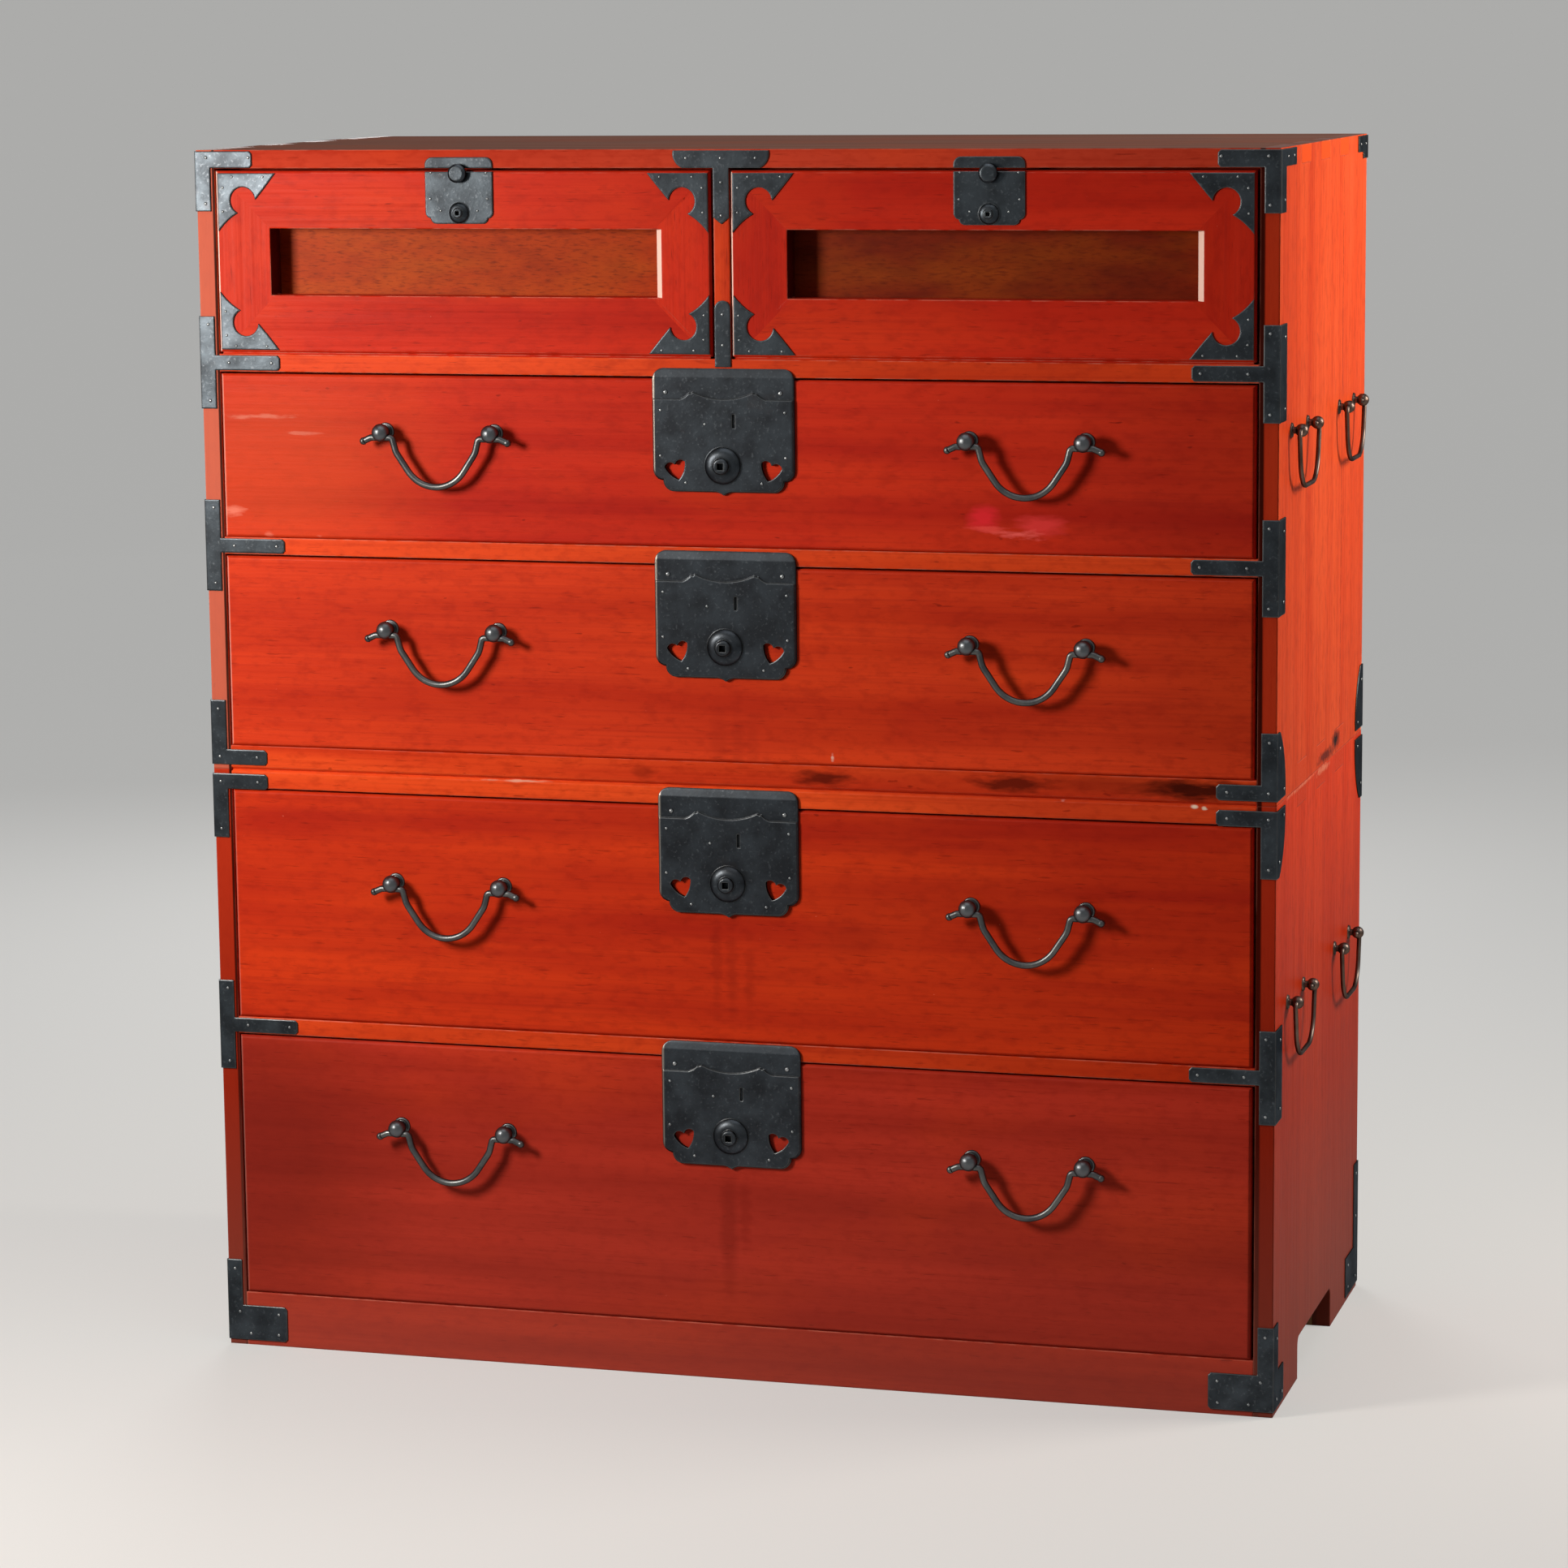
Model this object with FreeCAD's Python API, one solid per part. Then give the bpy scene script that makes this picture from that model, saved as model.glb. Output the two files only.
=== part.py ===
import FreeCAD, Part
import os
from math import cos, pi, sin, tan

# Stacking clothes chest: an upper case with two lift-out doors and two drawers stands on
# a lower case with two drawers and a plinth. Lacquered wood with wrought iron fittings.
# X runs to the right, Y runs back, Z runs up from the floor. The pieces are drawn with the
# front of the cases in the plane Y = 0 and moved back to the middle of the part as they are saved.

V = FreeCAD.Vector
os.makedirs("parts", exist_ok=True)

# Cases
case_width = 1030.0
case_depth = 475.0
side_thick = 18.0
top_thick = 17.0
sill_thick = 16.5
rail_thick = 16.0
upper_floor_thick = 23.0
lower_top_thick = 18.0
lower_floor_thick = 14.0
rail_depth = 45.0
dust_board_thick = 8.0
back_thick = 10.0
back_board_count = 3
finger_count = 3
finger_width = 50.0
finger_pitch = 105.0
seam_chamfer = 2.5

# Base
plinth_height = 53.0
plinth_thick = 20.0
front_foot = 132.0
rear_foot = 158.0
arch_height = 40.0
arch_corner = 9.0
bearer_thick = 18.0

# Drawers, numbered from the top
drawer_1_height = 155.0
drawer_2_height = 182.0
drawer_3_height = 222.0
drawer_4_height = 256.0
drawer_top_gap = 2.0
drawer_rest_gap = 0.3
drawer_left_gap = 1.2
drawer_right_gap = 3.0
drawer_rear_gap = 8.0
drawer_proud = 0.5
drawer_front_thick = 20.0
drawer_side_thick = 12.0
drawer_back_thick = 12.0
drawer_floor_thick = 8.0
drawer_rebate = 10.0
drawer_side_drop = 6.0
drawer_bevel = 2.2

# Doors
door_height = 169.5
door_thick = 30.0
door_sill_gap = 2.0
door_top_gap = 2.4
door_left_gap = 1.0
door_right_gap = 3.0
door_frame_width = 53.5
door_bevel = 2.0
window_bevel = 6.2
panel_thick = 5.0
panel_lap = 6.0
tongue_radius = 3.0
tongue_setback = 5.5
tongue_gap = 0.3
post_width = 15.0
partition_thick = 8.0
batten_size = 12.0
batten_gap = 1.0

# Iron sheet
iron_thick = 1.2
iron_inset = 1.2
strap_width = 14.0
strap_cut = 2.5
rail_strap_length = 79.0
rail_strap_leg = 87.0
rail_strap_wrap = 32.0
corner_strap_length = 56.0
corner_strap_leg = 56.0
corner_strap_height = 15.5
corner_strap_wrap = 24.0
corner_side_length = 75.0
rear_corner_length = 52.0
rear_corner_leg = 22.0
seam_strap_length = 55.0
seam_strap_leg = 62.0
seam_strap_height = 14.5
seam_strap_wrap = 40.0
seam_strap_tip = 12.0
seam_setback = 4.5
foot_strap_length = 60.0
foot_strap_leg = 80.0
foot_strap_height = 34.5
foot_strap_wrap = 22.0
foot_side_length = 50.0
rear_foot_length = 70.0
rear_foot_leg = 125.0
rear_foot_height = 40.0
foot_setback = 5.0
crown_width = 91.0
crown_foot_width = 74.0
crown_height = 15.8
crown_setback = 1.2
crown_stem_length = 50.8
crown_point = 6.0
post_strap_top = 53.5

# Corner irons of the doors
leaf_long = 58.0
leaf_short = 54.0
leaf_inset = 2.2

# Drawer locks
plate_width = 136.0
plate_height = 118.0
plate_1_height = 113.5
plate_1_lap = 10.0
plate_2_lap = 15.0
plate_3_lap = 18.0
plate_4_lap = 17.0
plate_thick = 2.6
plate_lip = 8.0
plate_lip_depth = 2.0
plate_bevel = 1.0
plate_corner = 11.0
plate_clip = 20.0
plate_cusp = 10.0
plate_drop_width = 16.0
plate_drop = 3.2
cover_thick = 1.6
cover_inset = 1.0
cover_bevel = 0.9
cover_drop = 28.5
cover_rise = 7.6
cover_dip = 7.6
cover_notch = 31.0
cover_notch_radius = 2.4
cover_shoulder = 41.0
slot_width = 2.6
slot_length = 12.5
slot_drop = 48.0
slot_offset = 10.5
boss_radius = 17.0
boss_height = 6.0
boss_crown_radius = 7.5
boss_crown_height = 4.0
boss_ease = 1.4
boss_drop = 89.0
keyhole_size = 6.0
keyhole_depth = 7.0
heart_width = 20.5
heart_height = 20.0
heart_spread = 46.5
heart_drop = 88.5
heart_tilt = 15.0
bolt_width = 40.0
bolt_thick = 5.0
bolt_length = 40.0
bolt_travel = 10.0
bolt_gap = 0.5
bolt_sunk = 1.0

# Door locks
door_plate_width = 66.0
door_plate_drop = 48.0
door_plate_inset = 0.8
door_keeper_height = 10.0
door_plate_corner = 7.0
door_plate_clip = 11.0
door_plate_cusp = 5.0
door_boss_radius = 9.5
door_boss_height = 4.0
door_boss_crown_radius = 4.5
door_boss_crown_height = 2.0
door_boss_ease = 0.7
door_boss_rise = 10.0
door_keyhole_size = 3.6
door_keyhole_depth = 5.0
door_bolt_width = 24.0
door_bolt_length = 28.0
door_bolt_travel = 8.0
door_bolt_setback = 10.0
knob_radius = 8.7
knob_thick = 4.5
knob_bevel = 2.2
knob_neck_radius = 3.5
knob_neck_length = 3.0
knob_drop = 1.6

# Drawer handles
handle_left_x = 277.0
handle_right_x = 286.0
handle_1_drop = 52.5
handle_2_drop = 65.5
handle_3_drop = 83.0
handle_4_drop = 81.0
post_spacing = 108.0
post_ball_radius = 8.4
post_standoff = 14.0
post_eye_drop = 4.6
post_neck_radius = 5.0
post_rose_radius = 8.5
post_rose_thick = 1.5
post_shank_radius = 3.5
post_leg_length = 22.0
post_leg_thick = 2.0
post_bore_gap = 0.2
bail_radius = 3.1
bail_eye_gap = 0.15
bail_tip_length = 7.5
bail_tip_droop = 3.4
bail_tip_radius = 3.5
bail_tip_run = 1.0
bail_arm_half = 39.2
bail_arm_drop = 13.4
bail_arm_bend = 18.0
bail_vertex = 71.5
bail_bend = 33.0
bail_shoulder_bend = 3.4
bail_shoulder_run = 2.65
bail_ball_gap = 0.3

# Carrying handles on the sides
side_post_spacing = 84.0
side_post_ball = 6.0
side_post_standoff = 9.5
side_post_neck = 3.2
side_post_rose = 7.0
side_post_shank = 2.6
side_post_depth = 13.0
side_bail_radius = 2.2
side_bail_drop = 52.0
side_bail_foot = 84.0
side_bail_bend = 30.0
side_bail_shoulder = 4.5
side_bail_tip = 4.0
side_bail_tip_radius = 2.7
side_handle_front = 105.0
side_handle_rear = 365.0
upper_side_handle_drop = 254.0
lower_side_handle_drop = 192.0

# Every cut runs past its face by this much
overrun = 2.0

# Levels closer than this count as one level
level_tolerance = 0.01

# Heights that follow from the stack of pieces
drawer_4_low = plinth_height + drawer_rest_gap
lower_rail_low = drawer_4_low + drawer_4_height + drawer_top_gap
lower_rail_high = lower_rail_low + rail_thick
drawer_3_low = lower_rail_high + drawer_rest_gap
lower_top_low = drawer_3_low + drawer_3_height + drawer_top_gap
seam_level = lower_top_low + lower_top_thick
upper_floor_high = seam_level + upper_floor_thick
drawer_2_low = upper_floor_high + drawer_rest_gap
upper_rail_low = drawer_2_low + drawer_2_height + drawer_top_gap
upper_rail_high = upper_rail_low + rail_thick
drawer_1_low = upper_rail_high + drawer_rest_gap
sill_low = drawer_1_low + drawer_1_height + drawer_top_gap
sill_high = sill_low + sill_thick
door_low = sill_high + door_sill_gap
door_high = door_low + door_height
top_low = door_high + door_top_gap
case_high = top_low + top_thick

# Widths and depths that follow
half_width = case_width / 2
inner_half = half_width - side_thick
drawer_left = drawer_left_gap - inner_half
drawer_right = inner_half - drawer_right_gap
drawer_length = case_depth - back_thick - drawer_rear_gap
opening_width = inner_half - post_width / 2
door_width = opening_width - door_left_gap - door_right_gap
back_front = case_depth - back_thick
front_reach = drawer_proud + post_standoff + max(post_ball_radius, bail_radius)
middle_shift = (front_reach - case_depth - iron_thick) / 2


def box(x_low, x_high, y_low, y_high, z_low, z_high):
    return Part.makeBox(x_high - x_low, y_high - y_low, z_high - z_low, V(x_low, y_low, z_low))


def save(node, solids):
    group = Part.Compound(solids)
    group.translate(V(0, middle_shift, 0))
    group.exportStep("parts/" + node + ".step")


def mirrored(shape):
    return shape.mirror(V(0, 0, 0), V(1, 0, 0))


def joined(shapes):
    return shapes[0].multiFuse(shapes[1:]).removeSplitter()


# A flat outline in X and Z: a step is an end point, or a point on an arc and its end point
def outline(start, steps):
    edges = []
    here = V(start[0], 0, start[1])
    for step in steps:
        end = V(step[-2], 0, step[-1])
        if len(step) == 4:
            edges.append(Part.Arc(here, V(step[0], 0, step[1]), end).toShape())
        else:
            edges.append(Part.makeLine(here, end))
        here = end
    return Part.Face(Part.Wire(edges))


# Sheet iron cut to an outline, standing forward from the plane Y = back
def sheet(start, steps, back, thick):
    plate = outline(start, steps).extrude(V(0, -thick, 0))
    plate.translate(V(0, back, 0))
    return plate


def edges_at(shape, y_level, x_limit, z_low, z_high):
    found = []
    for edge in shape.Edges:
        middle = edge.CenterOfMass
        flat = all(abs(point.Point.y - y_level) < level_tolerance for point in edge.Vertexes)
        inside = abs(middle.x) < x_limit and z_low < middle.z < z_high
        if flat and inside:
            found.append(edge)
    return found


# Case boards
def finger_boxes(z_low, z_high):
    first = (case_depth - finger_width - (finger_count - 1) * finger_pitch) / 2
    fingers = []
    for index in range(finger_count):
        near = first + index * finger_pitch
        fingers.append(box(inner_half, half_width, near, near + finger_width, z_low, z_high))
    return fingers


def fingered_board(z_low, z_high):
    board = box(-inner_half, inner_half, 0, case_depth, z_low, z_high)
    fingers = finger_boxes(z_low, z_high)
    return joined([board] + fingers + [mirrored(finger) for finger in fingers])


def upper_side():
    side = box(inner_half, half_width, 0, case_depth, seam_level, case_high)
    for finger in finger_boxes(top_low, case_high) + finger_boxes(seam_level, upper_floor_high):
        side = side.cut(finger)
    return side


def lower_side():
    side = box(inner_half, half_width, 0, case_depth, 0, seam_level)
    for finger in finger_boxes(lower_top_low, seam_level):
        side = side.cut(finger)
    arch_rear = case_depth - rear_foot
    low = -arch_corner
    arch = box(inner_half - overrun, half_width + overrun, front_foot, arch_rear, low, arch_height)
    corners = [edge for edge in arch.Edges if is_arch_corner(edge)]
    return side.cut(arch.makeFillet(arch_corner, corners))


def is_arch_corner(edge):
    ends = [point.Point for point in edge.Vertexes]
    along = abs(ends[0].x - ends[1].x) > side_thick
    return along and abs(ends[0].z - arch_height) < level_tolerance


# A slot in the underside of a board, which a lock bolt rises into
def bolt_mortise(x_middle, y_middle, width, thick, z_low, depth):
    half = width / 2 + bolt_gap
    reach = thick / 2 + bolt_gap
    return box(x_middle - half, x_middle + half, y_middle - reach, y_middle + reach,
               z_low - overrun, z_low + depth)


def drawer_bolt_y():
    return drawer_front_thick / 2 - drawer_proud


def drawer_mortise(z_low):
    depth = bolt_travel + bolt_gap
    return bolt_mortise(0, drawer_bolt_y(), bolt_width, bolt_thick, z_low, depth)


def upper_top_board():
    board = fingered_board(top_low, case_high)
    depth = door_bolt_travel + bolt_gap
    for door_left in door_lefts():
        middle = door_left + door_width / 2
        mortise = bolt_mortise(middle, door_bolt_setback, door_bolt_width, bolt_thick, top_low, depth)
        board = board.cut(mortise)
    near = door_thick + batten_gap
    far = near + batten_size
    low = top_low - batten_size
    right = box(partition_thick / 2, inner_half, near, far, low, top_low)
    return [board, mirrored(right), right]


def seam_board(z_low, z_high, seam_edge):
    board = fingered_board(z_low, z_high)
    rim = [edge for edge in edges_at(board, 0, half_width, z_low - overrun, z_high + overrun)
           if abs(edge.CenterOfMass.z - seam_edge) < level_tolerance]
    return board.makeChamfer(seam_chamfer, rim)


def lower_top_board():
    return seam_board(lower_top_low, seam_level, seam_level).cut(drawer_mortise(lower_top_low))


def back_boards(z_low, z_high):
    height = (z_high - z_low) / back_board_count
    boards = []
    for index in range(back_board_count):
        low = z_low + index * height
        boards.append(box(-inner_half, inner_half, back_front, case_depth, low, low + height))
    return boards


def shelf(z_low, z_high):
    rail = box(-inner_half, inner_half, 0, rail_depth, z_low, z_high).cut(drawer_mortise(z_low))
    board = box(-inner_half, inner_half, rail_depth, back_front, z_high - dust_board_thick, z_high)
    return [rail, board]


def tongue_level():
    return door_low - door_sill_gap / 2


def door_sill():
    rail, board = shelf(sill_low, sill_high)
    for door_left in door_lefts():
        start = V(door_left - tongue_gap, tongue_setback, tongue_level())
        length = door_width + 2 * tongue_gap
        rail = rail.cut(Part.makeCylinder(tongue_radius + tongue_gap, length, start, V(1, 0, 0)))
    return [rail, board]


def centre_divider():
    half_post = post_width / 2
    half_board = partition_thick / 2
    post = box(-half_post, half_post, 0, door_thick, sill_high, top_low)
    board = box(-half_board, half_board, door_thick, back_front, sill_high, top_low)
    return [post, board]


def lower_floor():
    low = plinth_height - lower_floor_thick
    return box(-inner_half, inner_half, plinth_thick, case_depth, low, plinth_height)


def rear_bearer():
    near = case_depth - rear_foot
    high = plinth_height - lower_floor_thick
    return box(-inner_half, inner_half, near, near + bearer_thick, 0, high)


# Doors: a mitred frame round a thin panel, with a rounded tongue along the foot
def door_lefts():
    return (door_left_gap - inner_half, post_width / 2 + door_left_gap)


def door_ring(left, right):
    ring = box(left, right, 0, door_thick, door_low, door_high)
    rim = edges_at(ring, 0, half_width, door_low - overrun, door_high + overrun)
    ring = ring.makeChamfer(door_bevel, rim)
    inner_left = left + door_frame_width
    inner_right = right - door_frame_width
    inner_low = door_low + door_frame_width
    inner_high = door_high - door_frame_width
    window = box(inner_left, inner_right, -overrun, door_thick + overrun, inner_low, inner_high)
    rebate = box(inner_left - panel_lap, inner_right + panel_lap, door_thick - panel_thick,
                 door_thick + overrun, inner_low - panel_lap, inner_high + panel_lap)
    return ring.cut(window).cut(rebate).cut(jamb_slope(inner_right, inner_low, inner_high))


# The slope down the right jamb of the window, from the front of the frame into the opening
def jamb_slope(right, low, high):
    wide = window_bevel
    corners = [V(right, 0, low), V(right + wide, 0, low), V(right, wide, low)]
    return Part.Face(closed_wire(corners)).extrude(V(0, 0, high - low))


def closed_wire(points):
    return Part.makePolygon(points + [points[0]])


def prism(points):
    face = Part.Face(closed_wire([V(x, -overrun, z) for x, z in points]))
    return face.extrude(V(0, door_thick + 2 * overrun, 0))


def door_frame(left):
    right = left + door_width
    ring = door_ring(left, right)
    width = door_frame_width
    lower_corners = [(left, door_low), (right, door_low)]
    upper_corners = [(left, door_high), (right, door_high)]
    lower_mitres = [(left + width, door_low + width), (right - width, door_low + width)]
    upper_mitres = [(left + width, door_high - width), (right - width, door_high - width)]
    foot = ring.common(prism([lower_corners[0], lower_corners[1], lower_mitres[1], lower_mitres[0]]))
    head = ring.common(prism([upper_corners[0], upper_mitres[0], upper_mitres[1], upper_corners[1]]))
    left_stile = ring.common(prism([lower_corners[0], lower_mitres[0], upper_mitres[0], upper_corners[0]]))
    right_stile = ring.common(prism([lower_corners[1], upper_corners[1], upper_mitres[1], lower_mitres[1]]))
    reach = (door_bevel, door_width - 2 * door_bevel)
    start = V(left + reach[0], tongue_setback, tongue_level())
    foot = foot.fuse(Part.makeCylinder(tongue_radius, reach[1], start, V(1, 0, 0)))
    half = door_bolt_width / 2 + bolt_gap
    near = door_bolt_setback - bolt_thick / 2 - bolt_gap
    far = door_bolt_setback + bolt_thick / 2 + bolt_gap
    middle = left + door_width / 2
    floor = door_high - bolt_sunk - door_bolt_length - drawer_rest_gap
    head = head.cut(box(middle - half, middle + half, near, far, floor, door_high + overrun))
    return [foot, head, left_stile, right_stile]


def door_panel(left):
    reach = door_frame_width - panel_lap
    near = door_thick - panel_thick
    return box(left + reach, left + door_width - reach, near, door_thick,
               door_low + reach, door_high - reach)


def door_bolt(left):
    middle = left + door_width / 2
    half = door_bolt_width / 2
    top = door_high - bolt_sunk
    near = door_bolt_setback - bolt_thick / 2
    return box(middle - half, middle + half, near, near + bolt_thick, top - door_bolt_length, top)


# A leaf-shaped corner iron with its corner at the origin, reaching left and down
leaf_tip_bow_shares = (0.853, 0.194)
leaf_first_cusp_shares = (0.647, 0.454)
leaf_bite_shares = (0.276, 0.306)
leaf_second_cusp_shares = (0.336, 0.685)
leaf_foot_bow_shares = (0.155, 0.82)


def door_leaf():
    def at(shares):
        return (-leaf_long * shares[0], -leaf_short * shares[1])
    steps = [(-leaf_long, 0), at(leaf_tip_bow_shares) + at(leaf_first_cusp_shares),
             at(leaf_bite_shares) + at(leaf_second_cusp_shares),
             at(leaf_foot_bow_shares) + (0, -leaf_short), (0, 0)]
    return sheet((0, 0), steps, 0, iron_thick)


def door_leaves(left):
    right = left + door_width - leaf_inset
    upper_right = door_leaf()
    lower_right = upper_right.mirror(V(0, 0, 0), V(0, 0, 1))
    leaves = []
    for leaf, level in ((upper_right, door_high - leaf_inset), (lower_right, door_low + leaf_inset)):
        outer = leaf.copy()
        outer.translate(V(right, 0, level))
        inner = mirrored(leaf)
        inner.translate(V(left + leaf_inset, 0, level))
        leaves += [inner, outer]
    return leaves


# The scalloped lower corners of a lock plate, from its right edge round to its left edge:
# two outward bows that meet in a cusp
foot_bow_share = 0.1


def scalloped_foot(half, low, clip, cusp, centre_steps):
    bow = clip * foot_bow_share
    near = cusp / 2 - bow
    far = (clip + cusp) / 2 - bow
    steps = [(half, low + clip), (half - near, low + far, half - cusp, low + cusp),
             (half - far, low + near, half - clip, low)]
    steps += centre_steps
    steps += [(clip - half, low), (far - half, low + near, cusp - half, low + cusp),
              (near - half, low + far, -half, low + clip)]
    return steps


def turned(start, steps):
    solid = outline(start, steps).revolve(V(0, 0, 0), V(0, 0, 1), 360)
    solid.rotate(V(0, 0, 0), V(1, 0, 0), 90)
    return solid


# A domed boss with a raised crown and a square keyhole
dome_bow_share = 0.14


def keyed_boss(radius, height, crown_radius, crown_height, ease, keyhole, depth):
    shoulder = crown_radius + ease
    tip = height + crown_height
    bow = height * dome_bow_share
    steps = [(radius, 0), (radius, ease),
             ((radius + shoulder) / 2 + bow, (height + ease) / 2 + bow, shoulder, height),
             (crown_radius, height), (crown_radius, tip - ease), (crown_radius - ease, tip), (0, tip), (0, 0)]
    half = keyhole / 2
    return turned((0, 0), steps).cut(box(-half, half, -tip - overrun, depth - tip, -half, half))


# A door's lock plate, its keyhole boss and its pull knob; the keeper above is on the case
def door_lock(left):
    half = door_plate_width / 2
    low = -door_plate_drop
    steps = [(half, 0)]
    steps += scalloped_foot(half, low, door_plate_clip, door_plate_cusp, [])
    steps += [(-half, 0)]
    plate = sheet((-half, 0), steps, 0, iron_thick)
    boss = keyed_boss(door_boss_radius, door_boss_height, door_boss_crown_radius, door_boss_crown_height,
                      door_boss_ease, door_keyhole_size, door_keyhole_depth)
    boss.translate(V(0, -iron_thick, low + door_boss_rise))
    face = knob_neck_length + knob_thick
    knob = turned((0, 0), [(knob_neck_radius, 0), (knob_neck_radius, knob_neck_length),
                           (knob_radius, knob_neck_length), (knob_radius, face - knob_bevel),
                           (knob_radius - knob_bevel, face), (0, face), (0, 0)])
    knob.translate(V(0, -iron_thick, -knob_drop))
    placed = [plate, boss, knob]
    for piece in placed:
        piece.translate(V(left + door_width / 2, 0, door_high - door_plate_inset))
    return placed


def door_keeper(left):
    half = door_plate_width / 2
    corner = door_plate_corner
    ease = corner * (1 - cos(pi / 4))
    high = door_keeper_height
    steps = [(half, 0), (half, high - corner), (half - ease, high - ease, half - corner, high),
             (corner - half, high), (ease - half, high - ease, -half, high - corner), (-half, 0)]
    keeper = sheet((-half, 0), steps, 0, iron_thick)
    keeper.translate(V(left + door_width / 2, 0, top_low))
    return keeper


# Corner irons: a strap down the front edge of a side, an arm along a board, and the same
# sheet folded round on to the outside of the side. Drawn at the right front edge.
def arm_plate(inner, outer, low, high):
    cut = strap_cut
    steps = [(inner + cut, low), (outer, low), (outer, high), (inner + cut, high), (inner, high - cut)]
    return sheet((inner, low + cut), steps + [(inner, low + cut)], 0, iron_thick)


def corner_iron(leg_low, leg_high, arm_low, arm_high, arm_length, folds):
    outside = half_width + iron_thick
    front_leg = box(half_width - strap_width, outside, -iron_thick, 0, leg_low, leg_high)
    front_arm = arm_plate(half_width - arm_length, outside, arm_low, arm_high)
    return joined([front_leg, front_arm] + folds)


def fold(depth, low, high):
    return box(half_width, half_width + iron_thick, -iron_thick, depth, low, high)


# The side leaf of a seam iron: widest near the seam, with a bowed edge that runs in to its far end
leaf_bow_shares = (0.8, 0.55)


def bowed_fold(near_level, far_level):
    wide = seam_strap_wrap
    bow = (seam_strap_tip + (wide - seam_strap_tip) * leaf_bow_shares[0],
           near_level + (far_level - near_level) * leaf_bow_shares[1])
    steps = [(wide, near_level), bow + (seam_strap_tip, far_level), (-iron_thick, far_level),
             (-iron_thick, near_level)]
    leaf = sheet((-iron_thick, near_level), steps, 0, iron_thick)
    leaf.rotate(V(0, 0, 0), V(0, 0, 1), 90)
    leaf.translate(V(half_width, 0, 0))
    return leaf


def rail_iron(low, high):
    middle = (low + high) / 2
    leg_low = middle - rail_strap_leg / 2
    leg_high = middle + rail_strap_leg / 2
    return corner_iron(leg_low, leg_high, low + iron_inset, high - iron_inset, rail_strap_length,
                       [fold(rail_strap_wrap, leg_low, leg_high)])


def top_corner_iron(leg, side_length):
    high = case_high - iron_inset
    arm_low = high - corner_strap_height
    return corner_iron(high - leg, high, arm_low, high, corner_strap_length,
                       [fold(corner_strap_wrap, high - leg, high), fold(side_length, arm_low, high)])


def seam_iron_above():
    low = seam_level + seam_setback
    high = low + seam_strap_leg
    return corner_iron(low, high, low, low + seam_strap_height, seam_strap_length, [bowed_fold(low, high)])


def seam_iron_below():
    high = seam_level - seam_setback
    low = high - seam_strap_leg
    return corner_iron(low, high, high - seam_strap_height, high, seam_strap_length, [bowed_fold(high, low)])


def foot_iron(leg, height, side_length):
    low = foot_setback
    return corner_iron(low, low + leg, low, low + height, foot_strap_length,
                       [fold(foot_strap_wrap, low, low + leg), fold(side_length, low, low + height)])


def at_front(iron):
    return [iron, mirrored(iron)]


def at_rear(iron):
    return at_front(iron.mirror(V(0, case_depth / 2, 0), V(0, 1, 0)))


# The iron at the head of the middle post: its ends bow in to a narrower foot above the stem
crown_bow_shares = (0.72, 0.3)


def crown_iron():
    high = case_high - crown_setback
    low = high - crown_height
    half_top = crown_width / 2
    half_low = crown_foot_width / 2
    half_stem = post_width / 2
    stem_low = low - crown_stem_length
    bow_x = half_low + (half_top - half_low) * crown_bow_shares[0]
    bow_z = low + crown_height * crown_bow_shares[1]
    steps = [(half_top, high), (bow_x, bow_z, half_low, low), (half_stem, low),
             (half_stem, stem_low + crown_point), (0, stem_low), (-half_stem, stem_low + crown_point),
             (-half_stem, low), (-half_low, low), (-bow_x, bow_z, -half_top, high)]
    return sheet((-half_top, high), steps, 0, iron_thick)


def post_iron():
    half = post_width / 2
    low = plate_top(drawer_1_low, drawer_1_height, plate_1_lap) + iron_inset
    high = sill_high + post_strap_top
    steps = [(half, low), (half, high - half), (0, high, -half, high - half), (-half, low)]
    return sheet((-half, low), steps, 0, iron_thick)


def upper_corner_irons():
    irons = at_front(top_corner_iron(corner_strap_leg, corner_side_length))
    irons += at_rear(top_corner_iron(rear_corner_leg, rear_corner_length))
    irons += at_front(rail_iron(sill_low, sill_high)) + at_front(rail_iron(upper_rail_low, upper_rail_high))
    irons += at_front(seam_iron_above()) + at_rear(seam_iron_above())
    irons += [crown_iron(), post_iron()]
    return irons + [door_keeper(left) for left in door_lefts()]


def lower_corner_irons():
    irons = at_front(seam_iron_below()) + at_rear(seam_iron_below())
    irons += at_front(rail_iron(lower_rail_low, lower_rail_high))
    irons += at_front(foot_iron(foot_strap_leg, foot_strap_height, foot_side_length))
    return irons + at_rear(foot_iron(rear_foot_leg, rear_foot_height, rear_foot_length))


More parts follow.
